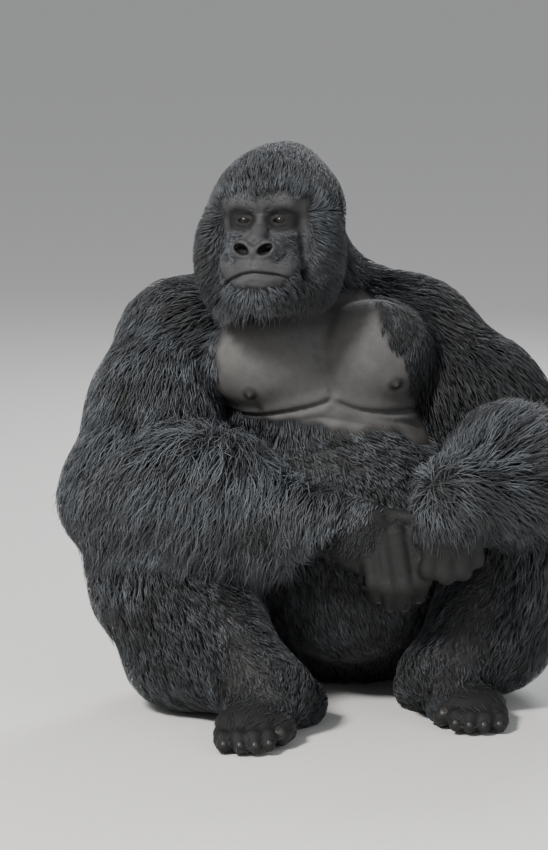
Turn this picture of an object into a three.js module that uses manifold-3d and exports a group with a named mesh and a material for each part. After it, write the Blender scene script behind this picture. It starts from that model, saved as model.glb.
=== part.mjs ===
import * as THREE from "three";
import { mergeVertices } from "three/addons/utils/BufferGeometryUtils.js";
import Module from "manifold-3d";

// An adult male mountain gorilla, seated with its arms folded over its belly.
// Millimetres. x runs to the animal's left, y to its back, z up; the floor is z = 0.
// Each body part is the outline of its coat: a skin size plus the depth of hair on it.

const wasm = await Module();
wasm.setup();

// ---------------------------------------------------------------- driving dimensions
const GAP = 0.3; // between neighbouring parts
const CHEST_COAT = 2; // bare skin
const BELLY_COAT = 9;
const BACK_COAT = 28;
const SHOULDER_COAT = 26;
const UPPER_ARM_COAT = { right: 38, left: 26 };
const FOREARM_COAT = 45;
const LEG_COAT = 32;
const SHIN_COAT = 16;
const HAND_COAT = 4;
const SCALP_COAT = 22;
const RUFF_COAT = 28;
const FACE_COAT = 1;

const BODY_CELL = 50; // mesh cell of the trunk
const LIMB_CELL = 42;
const PAW_CELL = 27;
const HEAD_CELL = 17;
const FACE_CELL = 7.4;
const FLATNESS = 0.5; // how far points may be joined, in mesh cells

const EYE_RADIUS = 13;
const HEAD_YAW = -15; // degrees, face turned to its right
const HEAD_ROLL = -1.5; // crown tipped to its right
const HEAD_PITCH = 4; // muzzle raised

const REST = [45, 75]; // centre of the seat on the floor, which becomes the origin
const PELVIS = [...REST, 165];
const CHEST = [-5, 25, 560];
const EYE_MIDDLE = [-116, -232, 891]; // origin of the head's own frame
const NAPE = [-90, 52, 772];

const SHOULDER = { right: [-262, 45, 628], left: [166, 50, 630] };
const ELBOW = { right: [-368, -188, 396], left: [430, -112, 412] };
const WRIST = { right: [-24, -300, 374], left: [212, -362, 420] };
const WAIST = 452; // height of the cut between chest and belly
const HIP = { right: [-65, 60, 150], left: [155, 75, 150] };
const KNEE = { right: [-306, -192, 232], left: [376, -150, 256] };
const ANKLE = { right: [-78, -375, 75], left: [176, -262, 78] };
const HEEL = { right: [-50, -318, 37], left: [168, -192, 37] };
const BALL = { right: [-146, -470, 30], left: [262, -325, 30] };
const CALF = { right: [-262, -200, 98], left: [305, -145, 118] };

// ---------------------------------------------------------------- vectors
const add = (a, b) => [a[0] + b[0], a[1] + b[1], a[2] + b[2]];
const sub = (a, b) => [a[0] - b[0], a[1] - b[1], a[2] - b[2]];
const scale = (a, s) => [a[0] * s, a[1] * s, a[2] * s];
const dot = (a, b) => a[0] * b[0] + a[1] * b[1] + a[2] * b[2];
const length = (a) => Math.hypot(a[0], a[1], a[2]);
const unit = (a) => scale(a, 1 / length(a));
const mix = (a, b, t) => add(scale(a, 1 - t), scale(b, t));
const cross = (a, b) => [
  a[1] * b[2] - a[2] * b[1],
  a[2] * b[0] - a[0] * b[2],
  a[0] * b[1] - a[1] * b[0],
];

// The head's own frame: x to its left, y back, z up, from between the eyes.
const headTurn = new THREE.Matrix4().makeRotationFromEuler(
  new THREE.Euler(
    -THREE.MathUtils.degToRad(HEAD_PITCH),
    THREE.MathUtils.degToRad(HEAD_ROLL),
    THREE.MathUtils.degToRad(HEAD_YAW),
    "ZYX",
  ),
);
const headAxes = [0, 1, 2].map((i) => new THREE.Vector3().setFromMatrixColumn(headTurn, i).toArray());
function onHead(x, y, z) {
  const turned = add(add(scale(headAxes[0], x), scale(headAxes[1], y)), scale(headAxes[2], z));
  return add(EYE_MIDDLE, turned);
}

// ---------------------------------------------------------------- solid fields
// A field is negative inside the form; its value is close to the distance from the surface.
function bone(a, ra, b, rb, coat) {
  const ab = sub(b, a);
  const span = dot(ab, ab);
  return (p) => {
    const ap = sub(p, a);
    const t = Math.min(1, Math.max(0, dot(ap, ab) / span));
    return length(sub(ap, scale(ab, t))) - ra - (rb - ra) * t - coat;
  };
}

function ball(centre, radii, coat, axes) {
  const grown = radii.map((r) => r + coat);
  return (p) => {
    let q = sub(p, centre);
    if (axes) q = axes.map((axis) => dot(q, axis));
    const near = Math.hypot(q[0] / grown[0], q[1] / grown[1], q[2] / grown[2]);
    const steep = Math.hypot(q[0] / grown[0] ** 2, q[1] / grown[1] ** 2, q[2] / grown[2] ** 2);
    return steep > 1e-9 ? (near * (near - 1)) / steep : -Math.min(...grown);
  };
}

// Fields run into one another over a distance k.
function blend(k, fields) {
  return (p) => {
    let value = fields[0](p);
    for (let i = 1; i < fields.length; i += 1) {
      const other = fields[i](p);
      const h = Math.max(k - Math.abs(value - other), 0) / k;
      value = Math.min(value, other) - h * h * k * 0.25;
    }
    return value;
  };
}

// A field with a hollow taken out of it, its rim softened over a distance k.
function carve(k, field, hollow) {
  const inverse = blend(k, [(p) => -field(p), hollow]);
  return (p) => -inverse(p);
}

const headBall = (x, y, z, radii, coat) => ball(onHead(x, y, z), radii, coat, headAxes);
const headBone = (a, ra, b, rb, coat) => bone(onHead(...a), ra, onHead(...b), rb, coat);

// ---------------------------------------------------------------- the trunk
const chestForms = [
  ball(CHEST, [212, 178, 190], CHEST_COAT),
  ball([-108, -102, 622], [118, 80, 84], CHEST_COAT), // pectorals
  ball([90, -100, 642], [114, 74, 100], CHEST_COAT),
  bone([-215, 20, 652], 78, [130, 30, 664], 78, 14),
  ball([0, 95, 555], [215, 150, 215], BACK_COAT),
];
const bellyForms = [
  ball([38, -42, 318], [212, 196, 212], BELLY_COAT),
  ball([42, -105, 212], [150, 142, 136], BELLY_COAT),
  bone([45, 112, 205], 150, [5, 112, 520], 152, BACK_COAT),
  ball(PELVIS, [198, 168, 168], BACK_COAT - 4),
];
const neckForms = [
  bone([-40, 104, 622], 122, NAPE, 100, SHOULDER_COAT),
  bone(NAPE, 104, onHead(0, 112, -34), 96, SHOULDER_COAT),
];

// ---------------------------------------------------------------- the head
const craniumForms = [
  headBall(0, 102, 18, [102, 122, 92], SCALP_COAT),
  headBone([0, 62, 58], 50, [0, 150, 68], 54, SCALP_COAT), // sagittal crest
  headBall(-68, 72, -68, [55, 80, 102], RUFF_COAT),
  headBall(53, 72, -64, [54, 80, 98], RUFF_COAT),
  headBall(0, 48, -118, [74, 74, 56], RUFF_COAT - 4),
  headBall(-24, 22, -159, [62, 50, 48], RUFF_COAT - 2), // beard
];
const faceForms = [
  headBall(0, 44, -28, [76, 66, 84], FACE_COAT),
  headBone([-80, 36, 22], 15, [-46, -5, 33], 16, 4), // brow ridge
  headBone([-46, -5, 33], 16, [0, -13, 32], 16, 4),
  headBone([0, -13, 32], 16, [46, -5, 33], 16, 4),
  headBone([46, -5, 33], 16, [80, 36, 22], 15, 4),
  headBall(0, 44, 44, [70, 54, 40], 12),
  headBall(-58, 26, -44, [36, 36, 38], FACE_COAT), // cheeks
  headBall(58, 26, -44, [36, 36, 38], FACE_COAT),
  headBall(0, -8, -78, [60, 62, 48], FACE_COAT), // muzzle
  headBone([-40, -28, -82], 31, [40, -28, -82], 31, FACE_COAT), // upper lip
  headBall(0, -10, -122, [48, 46, 34], 6), // chin
  headBone([0, -6, -4], 13, [0, -48, -40], 20, FACE_COAT), // nose bridge
  headBone([-24, -54, -50], 17, [24, -54, -50], 17, FACE_COAT), // nose wings
];

// ---------------------------------------------------------------- the arms
function upperArmForms(side, out) {
  const s = SHOULDER[side];
  const e = ELBOW[side];
  return [
    ball(s, [90, 98, 94], SHOULDER_COAT),
    bone(s, 90, e, 74, UPPER_ARM_COAT[side]),
    ball(add(mix(s, e, 0.45), [out * 6, -18, 0]), [84, 92, 102], UPPER_ARM_COAT[side]),
  ];
}
const rightForearmForms = [
  bone(ELBOW.right, 76, WRIST.right, 44, FOREARM_COAT - 10),
  ball([-222, -250, 425], [112, 72, 78], FOREARM_COAT), // muscle belly
  ball([-205, -262, 330], [138, 56, 66], 22), // hanging fringe
  ball([-338, -190, 352], [70, 64, 52], 26),
];
const leftForearmForms = [
  bone(ELBOW.left, 82, WRIST.left, 48, FOREARM_COAT - 12),
  ball([322, -238, 438], [88, 88, 92], FOREARM_COAT),
];

// ---------------------------------------------------------------- the legs
function thighForms(side, out) {
  const k = KNEE[side];
  return [
    bone(HIP[side], 112, k, 92, LEG_COAT),
    ball(add(mix(HIP[side], k, 0.5), [out * 22, 6, -42]), [112, 120, 96], LEG_COAT - 4),
  ];
}
function shinForms(side, out) {
  const k = KNEE[side];
  const a = ANKLE[side];
  return [
    bone(k, 90, mix(k, a, 0.42), 72, LEG_COAT),
    bone(mix(k, a, 0.35), 66, a, 40, SHIN_COAT),
    ball(CALF[side], [90, 108, 78], LEG_COAT - 8), // calf on the floor
    bone(CALF[side], 62, mix(a, BALL[side], 0.35), 34, SHIN_COAT),
  ];
}

// ---------------------------------------------------------------- hands and feet
const rightHandForms = [
  bone(WRIST.right, 42, [60, -322, 352], 34, HAND_COAT),
  ball([62, -318, 338], [88, 34, 66], HAND_COAT, [
    unit([0.9, -0.1, -0.42]),
    unit([0.1, 1, 0]),
    unit([0.42, 0, 0.9]),
  ]),
];
const leftHandForms = [
  bone(WRIST.left, 46, [208, -376, 352], 32, HAND_COAT),
  ball([208, -368, 352], [54, 34, 54], HAND_COAT),
];
function footForms(side) {
  const h = HEEL[side];
  const b = BALL[side];
  const along = unit(sub(b, h));
  const across = unit(cross([0, 0, 1], along));
  const axes = [across, along, cross(across, along)];
  return [
    bone(ANKLE[side], 42, h, 40, SHIN_COAT - 8),
    bone(h, 38, mix(h, b, 0.75), 36, HAND_COAT),
    ball(add(mix(h, b, 0.86), [0, 0, 4]), [66, 72, 32], HAND_COAT, axes),
  ];
}

// Digits: name, joints from the knuckle to the tip, radii.
const FINGER = [17, 17, 14];
const LITTLE = [16, 15, 12];
const THUMB = [15, 13, 10];
const FINGERS = {
  right: [
    ["thumb", [[104, -322, 376], [146, -336, 374], [160, -338, 342]], THUMB],
    ["index", [[148, -340, 345], [162, -356, 268], [160, -320, 232]], FINGER],
    ["middle", [[121, -342, 346], [134, -361, 258], [134, -324, 218]], FINGER],
    ["ring", [[95, -340, 338], [107, -361, 256], [109, -324, 218]], FINGER],
    ["little", [[70, -336, 322], [81, -354, 262], [86, -320, 231]], LITTLE],
  ],
  left: [
    ["thumb", [[186, -366, 402], [160, -372, 380], [156, -368, 344]], THUMB],
    ["index", [[180, -384, 342], [176, -380, 292], [182, -330, 288]], FINGER],
    ["middle", [[205, -388, 340], [204, -384, 284], [205, -330, 282]], FINGER],
    ["ring", [[230, -386, 342], [232, -380, 290], [228, -330, 290]], FINGER],
    ["little", [[252, -378, 352], [256, -370, 308], [250, -328, 306]], LITTLE],
  ],
};
const TOE = [15, 14, 11.5];
const TOES = [
  ["hallux", [[-98, -430, 32], [-80, -472, 28], [-86, -502, 22]], [23, 21, 17]],
  ["toe_2", [[-114, -498, 30], [-108, -530, 26], [-106, -548, 18]], TOE],
  ["toe_3", [[-138, -504, 30], [-132, -540, 26], [-130, -557, 17]], TOE],
  ["toe_4", [[-163, -502, 28], [-158, -538, 24], [-156, -554, 16]], TOE],
  ["toe_5", [[-188, -490, 24], [-186, -524, 21], [-184, -540, 14]], TOE],
];

// ---------------------------------------------------------------- meshing
// The surface of a field inside a box, on the nudge of the grid where fewest edges have extra faces.
function skinOf(field, cell, low, high) {
  let best = { extra: Infinity };
  for (let nudge = 0; nudge < 7 && best.extra > 0; nudge += 1) {
    const from = low.map((v) => v - nudge * 0.13 * cell);
    const net = crossings(field, cell, from, high);
    const extra = extraFaces(net.triangles);
    if (extra < best.extra) best = { ...net, extra };
  }
  return thinned(field, best.positions, best.triangles, cell);
}

function extraFaces(triangles) {
  const seen = new Map();
  for (let t = 0; t < triangles.length; t += 3)
    for (let c = 0; c < 3; c += 1) {
      const ends = [triangles[t + c], triangles[t + ((c + 1) % 3)]].sort((a, b) => a - b);
      const key = ends.join();
      seen.set(key, (seen.get(key) ?? 0) + 1);
    }
  return [...seen.values()].filter((n) => n !== 2).length;
}

// One point in each cell the surface crosses, and two triangles for each grid edge it crosses.
function crossings(field, cell, low, high) {
  const count = [0, 1, 2].map((i) => Math.ceil((high[i] - low[i]) / cell) + 1);
  const at = (i, j, k) => (k * count[1] + j) * count[0] + i;
  const place = (i, j, k) => [low[0] + i * cell, low[1] + j * cell, low[2] + k * cell];
  const edgeOfBox = (i, j, k) =>
    i === 0 || j === 0 || k === 0 || i === count[0] - 1 || j === count[1] - 1 || k === count[2] - 1;
  const values = new Float64Array(count[0] * count[1] * count[2]);
  for (let k = 0; k < count[2]; k += 1)
    for (let j = 0; j < count[1]; j += 1)
      for (let i = 0; i < count[0]; i += 1)
        values[at(i, j, k)] = edgeOfBox(i, j, k) ? cell : field(place(i, j, k));

  const corners = [];
  for (let c = 0; c < 8; c += 1) corners.push([c & 1, (c >> 1) & 1, (c >> 2) & 1]);
  const vertexOf = new Map();
  const positions = [];
  for (let k = 0; k < count[2] - 1; k += 1)
    for (let j = 0; j < count[1] - 1; j += 1)
      for (let i = 0; i < count[0] - 1; i += 1) {
        let sum = [0, 0, 0];
        let hits = 0;
        for (let c = 0; c < 8; c += 1)
          for (let axis = 0; axis < 3; axis += 1) {
            if (corners[c][axis]) continue;
            const d = corners[c + (1 << axis)];
            const va = values[at(i + corners[c][0], j + corners[c][1], k + corners[c][2])];
            const vb = values[at(i + d[0], j + d[1], k + d[2])];
            if (va < 0 === vb < 0) continue;
            sum = add(sum, mix(corners[c], d, va / (va - vb)));
            hits += 1;
          }
        if (!hits) continue;
        vertexOf.set(at(i, j, k), positions.length);
        positions.push(settle(field, add(place(i, j, k), scale(sum, cell / hits)), cell));
      }

  const triangles = [];
  const steps = [at(1, 0, 0), at(0, 1, 0), at(0, 0, 1)];
  for (let k = 0; k < count[2] - 1; k += 1)
    for (let j = 0; j < count[1] - 1; j += 1)
      for (let i = 0; i < count[0] - 1; i += 1)
        for (let axis = 0; axis < 3; axis += 1) {
          const here = at(i, j, k);
          const inside = values[here] < 0;
          if (inside === values[here + steps[axis]] < 0) continue;
          const u = steps[(axis + 1) % 3];
          const v = steps[(axis + 2) % 3];
          const quad = [here - u - v, here - v, here, here - u].map((n) => vertexOf.get(n));
          if (!inside) quad.reverse();
          const [a, b, c, d] = quad;
          const short = length(sub(positions[a], positions[c])) < length(sub(positions[b], positions[d]));
          if (short) triangles.push(a, b, c, a, c, d);
          else triangles.push(a, b, d, b, c, d);
        }
  return { positions, triangles };
}

function slopeOf(field, p) {
  return [0, 1, 2].map((i) => {
    const step = [0, 0, 0];
    step[i] = 1;
    return (field(add(p, step)) - field(sub(p, step))) / 2;
  });
}

// Joins neighbouring mesh points where the form is nearly flat, so that faces follow its curvature.
function thinned(field, positions, triangles, cell) {
  const most = cell * FLATNESS;
  const normals = positions.map((p) => unit(slopeOf(field, p)));
  let faces = triangles;
  for (let round = 0; round < 12; round += 1) {
    const around = positions.map(() => new Set());
    const fans = positions.map(() => []);
    for (let t = 0; t < faces.length; t += 3)
      for (let c = 0; c < 3; c += 1) {
        const [a, b] = [faces[t + c], faces[t + ((c + 1) % 3)]];
        around[a].add(b);
        around[b].add(a);
        fans[a].push(t);
      }
    const edges = [];
    around.forEach((others, a) => {
      for (const b of others) {
        if (a > b) continue;
        const turn = Math.sqrt(Math.max(0, 1 - dot(normals[a], normals[b])));
        const cost = length(sub(positions[a], positions[b])) * (turn + 0.1);
        if (cost < most) edges.push([cost, a, b]);
      }
    });
    edges.sort((p, q) => p[0] - q[0]);
    const busy = new Set();
    const goes = new Map();
    for (const [, a, b] of edges) {
      if (busy.has(a) || busy.has(b)) continue;
      const shared = [...around[a]].filter((v) => around[b].has(v));
      if (shared.length !== 2) continue;
      const middle = settle(field, mix(positions[a], positions[b], 0.5), cell);
      if ([a, b].some((v) => fans[v].some((t) => flips(positions, faces, t, a, b, middle)))) continue;
      positions[a] = middle;
      normals[a] = unit(slopeOf(field, middle));
      goes.set(b, a);
      for (const v of [a, b, ...around[a], ...around[b]]) busy.add(v);
    }
    if (!goes.size) break;
    const kept = [];
    for (let t = 0; t < faces.length; t += 3) {
      const face = faces.slice(t, t + 3).map((v) => goes.get(v) ?? v);
      if (new Set(face).size === 3) kept.push(...face);
    }
    faces = kept;
  }
  return solid(positions, faces);
}

// Whether moving corners a and b of a face to one point would turn it over.
function flips(positions, faces, t, a, b, to) {
  const face = faces.slice(t, t + 3);
  if (face.includes(a) && face.includes(b)) return false;
  const now = face.map((v) => positions[v]);
  const then = face.map((v) => (v === a || v === b ? to : positions[v]));
  const before = cross(sub(now[1], now[0]), sub(now[2], now[0]));
  const after = cross(sub(then[1], then[0]), sub(then[2], then[0]));
  return dot(before, after) < 0.3 * length(before) * length(after);
}

// Moves a mesh vertex onto the surface of the field, by at most a fifth of a cell.
function settle(field, start, cell) {
  let p = start;
  for (let turn = 0; turn < 3; turn += 1) {
    const value = field(p);
    const slope = slopeOf(field, p);
    const steep = dot(slope, slope);
    if (steep < 0.05) return p;
    p = sub(p, scale(slope, value / steep));
  }
  const moved = sub(p, start);
  const far = length(moved);
  return far > cell * 0.2 ? add(start, scale(moved, (cell * 0.2) / far)) : p;
}

function solid(positions, triangles) {
  const mesh = new wasm.Mesh({
    numProp: 3,
    vertProperties: new Float32Array(positions.flat()),
    triVerts: new Uint32Array(triangles),
  });
  return new wasm.Manifold(mesh);
}

// The same solid with every face moved out by a distance, used to leave a gap around it.
function grown(body, distance) {
  const mesh = body.getMesh();
  const stride = mesh.numProp;
  const points = [];
  for (let i = 0; i < mesh.vertProperties.length; i += stride)
    points.push([...mesh.vertProperties.slice(i, i + 3)]);
  const facing = points.map(() => []);
  for (let t = 0; t < mesh.triVerts.length; t += 3) {
    const corner = [...mesh.triVerts.slice(t, t + 3)];
    const [a, b, c] = corner.map((v) => points[v]);
    const face = cross(sub(b, a), sub(c, a));
    if (length(face) < 0.05) continue;
    for (const v of corner) facing[v].push(unit(face));
  }
  const moved = points.map((p, i) => add(p, clearStep(facing[i], distance)));
  return solid(moved, [...mesh.triVerts]);
}

// A short step that moves a corner out past each of its faces by a distance.
function clearStep(normals, distance) {
  let step = [0, 0, 0];
  for (let turn = 0; turn < 60; turn += 1) {
    let settled = true;
    for (const normal of normals) {
      const short = distance - dot(normal, step);
      if (short < distance * 0.05) continue;
      step = add(step, scale(normal, short));
      settled = false;
    }
    if (settled) break;
  }
  const far = length(step);
  return far > 12 * distance ? scale(step, (12 * distance) / far) : step;
}

// The solid as a geometry whose points closer than a micrometre are one.
function shapeOf(body) {
  const mesh = body.getMesh();
  const geometry = new THREE.BufferGeometry();
  geometry.setAttribute("position", new THREE.BufferAttribute(mesh.vertProperties, 3));
  geometry.setIndex(new THREE.BufferAttribute(mesh.triVerts, 1));
  return mergeVertices(geometry.toNonIndexed(), 1e-3);
}

// The largest piece of a solid: what a cut leaves behind as crumbs is dropped.
function mainPiece(body) {
  const shape = shapeOf(body);
  const mesh = new wasm.Mesh({
    numProp: 3,
    vertProperties: new Float32Array(shape.attributes.position.array),
    triVerts: new Uint32Array(shape.index.array),
  });
  const pieces = new wasm.Manifold(mesh).decompose();
  return pieces.reduce((best, piece) => (piece.volume() > best.volume() ? piece : best));
}

// A knife: a square block that starts at a plane and reaches away along a direction.
function knife(at, direction, width, reach) {
  const z = unit(direction);
  const x = unit(cross(Math.abs(z[2]) < 0.9 ? [0, 0, 1] : [0, 1, 0], z));
  const y = cross(z, x);
  const points = [];
  for (const far of [GAP / 2, reach])
    for (const [u, v] of [[-1, -1], [1, -1], [1, 1], [-1, 1]])
      points.push(add(at, add(scale(z, far), add(scale(x, u * width), scale(y, v * width)))));
  const faces = [0, 2, 1, 0, 3, 2, 4, 5, 6, 4, 6, 7];
  for (let i = 0; i < 4; i += 1) {
    const j = (i + 1) % 4;
    faces.push(i, j, j + 4, i, j + 4, i + 4);
  }
  return solid(points, faces);
}

// A round digit through a line of joints, closed by a dome at each end.
function digit(joints, radii, sides) {
  const rings = [];
  const first = unit(sub(joints[0], joints[1]));
  const lastJoint = joints.length - 1;
  const last = unit(sub(joints[lastJoint], joints[lastJoint - 1]));
  joints.forEach((joint, i) => {
    const before = joints[Math.max(0, i - 1)];
    const after = joints[Math.min(lastJoint, i + 1)];
    rings.push({ centre: joint, axis: unit(sub(after, before)), radius: radii[i] });
  });
  const tip = { centre: add(joints[lastJoint], scale(last, radii[lastJoint] * 0.7)), axis: last };
  rings.push({ ...tip, radius: radii[lastJoint] * 0.68 });
  const positions = [add(joints[0], scale(first, radii[0] * 0.6))];
  for (const ring of rings) {
    const x = unit(cross(Math.abs(ring.axis[0]) < 0.9 ? [1, 0, 0] : [0, 1, 0], ring.axis));
    const y = cross(ring.axis, x);
    for (let s = 0; s < sides; s += 1) {
      const turn = (2 * Math.PI * s) / sides;
      const out = add(scale(x, Math.cos(turn)), scale(y, Math.sin(turn)));
      positions.push(add(ring.centre, scale(out, ring.radius)));
    }
  }
  positions.push(add(joints[lastJoint], scale(last, radii[lastJoint])));
  const end = positions.length - 1;
  const triangles = [];
  for (let s = 0; s < sides; s += 1) {
    const next = (s + 1) % sides;
    triangles.push(0, 1 + next, 1 + s);
    for (let r = 0; r < rings.length - 1; r += 1) {
      const low = 1 + r * sides;
      const high = low + sides;
      triangles.push(low + s, low + next, high + next, low + s, high + next, high + s);
    }
    const top = 1 + (rings.length - 1) * sides;
    triangles.push(top + s, top + next, end);
  }
  return solid(positions, triangles);
}

// The block that parts the bare face from the coated head: an oval column along the gaze.
function faceColumn(grow) {
  const sides = 24;
  const positions = [];
  for (const y of [-190, 30 + grow])
    for (let s = 0; s < sides; s += 1) {
      const turn = (2 * Math.PI * s) / sides;
      positions.push(onHead(Math.cos(turn) * (84 + grow), y, -54 + Math.sin(turn) * (98 + grow)));
    }
  const triangles = [];
  for (let s = 0; s < sides; s += 1) {
    const next = (s + 1) % sides;
    triangles.push(s, next + sides, next, s, s + sides, next + sides);
    if (s > 0 && next > 0) triangles.push(0, s, next, sides, sides + next, sides + s);
  }
  return solid(positions, triangles);
}

// ---------------------------------------------------------------- assembly
const COAT = 0x26282c;
const SKIN = 0x4a4846;
const FACE = 0x232326;
const CORNEA = 0x2a1608;

const gorilla = new THREE.Group();
const placed = [];

// Adds a part: it is cut level at the floor and cleared of every part placed before it.
function place(name, body, colour) {
  let piece = body.trimByPlane([0, 0, 1], 0);
  for (const other of placed) {
    const a = piece.boundingBox();
    const b = other.boundingBox();
    const apart = [0, 1, 2].some((i) => a.min[i] > b.max[i] + 1 || b.min[i] > a.max[i] + 1);
    if (apart) continue;
    for (let room = GAP; room < 9 * GAP; room *= 2) {
      piece = piece.subtract(grown(other, room));
      if (piece.intersect(other).volume() < 1e-4) break;
    }
  }
  piece = mainPiece(piece);
  placed.push(piece);
  const geometry = shapeOf(piece);
  geometry.translate(-REST[0], -REST[1], 0);
  geometry.computeVertexNormals();
  const part = new THREE.Mesh(geometry, new THREE.MeshStandardMaterial({ color: colour, roughness: 0.85 }));
  part.name = name;
  gorilla.add(part);
}

const around = (centre, half) => [centre.map((c) => c - half), centre.map((c) => c + half)];
const everywhere = [
  [-620, -640, -60],
  [640, 380, 1120],
];

// ---- head
let headField = blend(22, [...craniumForms, ...faceForms]);
for (const side of [-1, 1]) {
  headField = carve(8, headField, headBall(side * 36, -28, 2, [27, 24, 15], 0)); // eye socket
  headField = carve(5, headField, headBall(side * 21, -77, -50, [14, 15, 9], 0)); // nostril
}
headField = carve(5, headField, headBall(0, -80, -92, [56, 20, 7], 0)); // line of the mouth
for (const [name, x] of [
  ["eye_right", -32.5],
  ["eye_left", 32.5],
]) {
  const centre = onHead(x, 0, 0);
  const eye = ball(centre, [EYE_RADIUS, EYE_RADIUS, EYE_RADIUS], 0);
  place(name, skinOf(eye, 6, ...around(centre, 21)), CORNEA);
}
const fineHead = skinOf(headField, FACE_CELL, ...around(onHead(0, -20, -50), 150));
place("face", fineHead.intersect(faceColumn(0)), FACE);
for (const [name, side] of [
  ["ear_right", -1],
  ["ear_left", 1],
]) {
  const shell = blend(6, [
    headBall(side * 121, 98, 24, [12, 20, 29], 3),
    headBall(side * 108, 96, 14, [14, 18, 20], 3),
  ]);
  const bowl = headBall(side * 137, 92, 25, [12, 13, 19], 0);
  const ear = carve(6, shell, bowl);
  place(name, skinOf(ear, 6, ...around(onHead(side * 116, 96, 20), 50)), FACE);
}
const coarseHead = skinOf(headField, HEAD_CELL, ...around(onHead(0, 60, -40), 270));
place("head", coarseHead.subtract(faceColumn(GAP)), COAT);

// ---- arms and hands
const outward = { right: -1, left: 1 };
const forearmForms = { right: rightForearmForms, left: leftForearmForms };
const handForms = { right: rightHandForms, left: leftHandForms };
const shoulderCut = { right: [-200, 20, 625], left: [170, 20, 640] };
const armward = { right: [-1, 0, 0.26], left: [1, 0, 0.4] };
for (const side of ["right", "left"]) {
  for (const [finger, joints, radii] of FINGERS[side]) place(`${finger}_${side}`, digit(joints, radii, 6), FACE);
  const s = SHOULDER[side];
  const e = ELBOW[side];
  const w = WRIST[side];
  const bend = add(unit(sub(e, s)), unit(sub(w, e)));
  const armForms = [...upperArmForms(side, outward[side]), ...forearmForms[side]];
  const lower = skinOf(blend(46, armForms), LIMB_CELL, ...everywhere);
  const upper = skinOf(blend(50, [...armForms, ...chestForms, ...neckForms]), LIMB_CELL, ...everywhere);
  const trunkward = knife(shoulderCut[side], scale(armward[side], -1), 500, 900);
  place(`forearm_${side}`, lower.subtract(knife(e, scale(bend, -1), 420, 600)), COAT);
  place(`hand_${side}`, skinOf(blend(24, handForms[side]), PAW_CELL, ...around(w, 230)), FACE);
  place(`upper_arm_${side}`, upper.subtract(knife(e, bend, 420, 600)).subtract(trunkward), COAT);
}

// ---- legs and feet
for (const side of ["right", "left"]) {
  const out = outward[side];
  const shift = side === "right" ? [0, 0, 0] : [20, 145, 0];
  for (const [toe, joints, radii] of TOES) {
    const line = joints.map((j) => add([side === "right" ? j[0] : 96 - j[0], j[1], j[2]], shift));
    place(`${toe}_${side}`, digit(line, radii, 6), FACE);
  }
  const h = HIP[side];
  const k = KNEE[side];
  const a = ANKLE[side];
  const bend = add(unit(sub(k, h)), unit(sub(a, k)));
  const leg = skinOf(blend(50, [...thighForms(side, out), ...shinForms(side, out)]), LIMB_CELL, ...everywhere);
  place(`shin_${side}`, leg.subtract(knife(k, scale(bend, -1), 420, 600)), COAT);
  place(`foot_${side}`, skinOf(blend(24, footForms(side)), PAW_CELL, ...around(mix(a, BALL[side], 0.5), 200)), FACE);
  const hipward = knife(mix(h, k, 0.22), sub(h, k), 420, 600);
  place(`thigh_${side}`, leg.subtract(knife(k, bend, 420, 600)).subtract(hipward), COAT);
}

// ---- trunk
const shoulderForms = [...upperArmForms("right", -1), ...upperArmForms("left", 1)];
const trunk = skinOf(blend(60, [...chestForms, ...bellyForms, ...neckForms]), BODY_CELL, ...everywhere);
const yokeForms = [...chestForms, ...bellyForms, ...neckForms, ...shoulderForms];
const yoke = skinOf(blend(50, yokeForms), BODY_CELL, ...everywhere)
  .subtract(knife(shoulderCut.right, armward.right, 500, 500))
  .subtract(knife(shoulderCut.left, armward.left, 500, 500));
const collar = [-40, 80, 716];
const rise = [-0.12, 0.05, 1];
place("neck", yoke.subtract(knife(collar, scale(rise, -1), 600, 900)), COAT);
place("chest", yoke.trimByPlane([0, 0, 1], WAIST + GAP / 2), SKIN);
place("belly", trunk.trimByPlane([0, 0, -1], GAP / 2 - WAIST), SKIN);

export default gorilla;
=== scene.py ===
import math
from collections import namedtuple

import bmesh
import bpy
import numpy as np
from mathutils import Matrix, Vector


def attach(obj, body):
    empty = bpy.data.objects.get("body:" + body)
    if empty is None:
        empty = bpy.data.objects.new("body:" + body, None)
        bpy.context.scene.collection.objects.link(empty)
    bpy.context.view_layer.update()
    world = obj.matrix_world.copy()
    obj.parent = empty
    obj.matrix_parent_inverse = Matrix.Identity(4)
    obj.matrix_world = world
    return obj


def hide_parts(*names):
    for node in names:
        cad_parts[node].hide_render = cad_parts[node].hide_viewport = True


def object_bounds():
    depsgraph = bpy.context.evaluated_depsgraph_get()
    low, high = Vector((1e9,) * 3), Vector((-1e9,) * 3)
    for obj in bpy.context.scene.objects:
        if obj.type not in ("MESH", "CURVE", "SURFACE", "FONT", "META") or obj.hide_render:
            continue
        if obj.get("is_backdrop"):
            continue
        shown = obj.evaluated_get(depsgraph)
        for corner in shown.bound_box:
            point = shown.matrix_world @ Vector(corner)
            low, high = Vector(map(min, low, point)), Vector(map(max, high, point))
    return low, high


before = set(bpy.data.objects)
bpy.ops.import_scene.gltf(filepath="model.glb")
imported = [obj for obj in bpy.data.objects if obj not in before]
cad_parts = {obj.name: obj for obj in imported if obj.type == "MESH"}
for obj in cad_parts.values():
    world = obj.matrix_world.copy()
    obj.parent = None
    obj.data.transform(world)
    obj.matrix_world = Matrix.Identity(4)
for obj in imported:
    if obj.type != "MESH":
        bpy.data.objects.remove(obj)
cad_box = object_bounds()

# An adult male mountain gorilla, seated with its forearms folded over its belly.
# Forms are worked out in millimetres (x to its left, y to its back, z up), then written in metres.

REST = np.array([45.0, 75.0, 0.0])  # centre of the seat on the floor, which is the frame's origin
CELL = 8.0  # grid of the body's skin
SEED = 41


# ------------------------------------------------------------------ vectors


def vec(*values):
    return np.array(values, dtype=np.float64)


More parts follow.
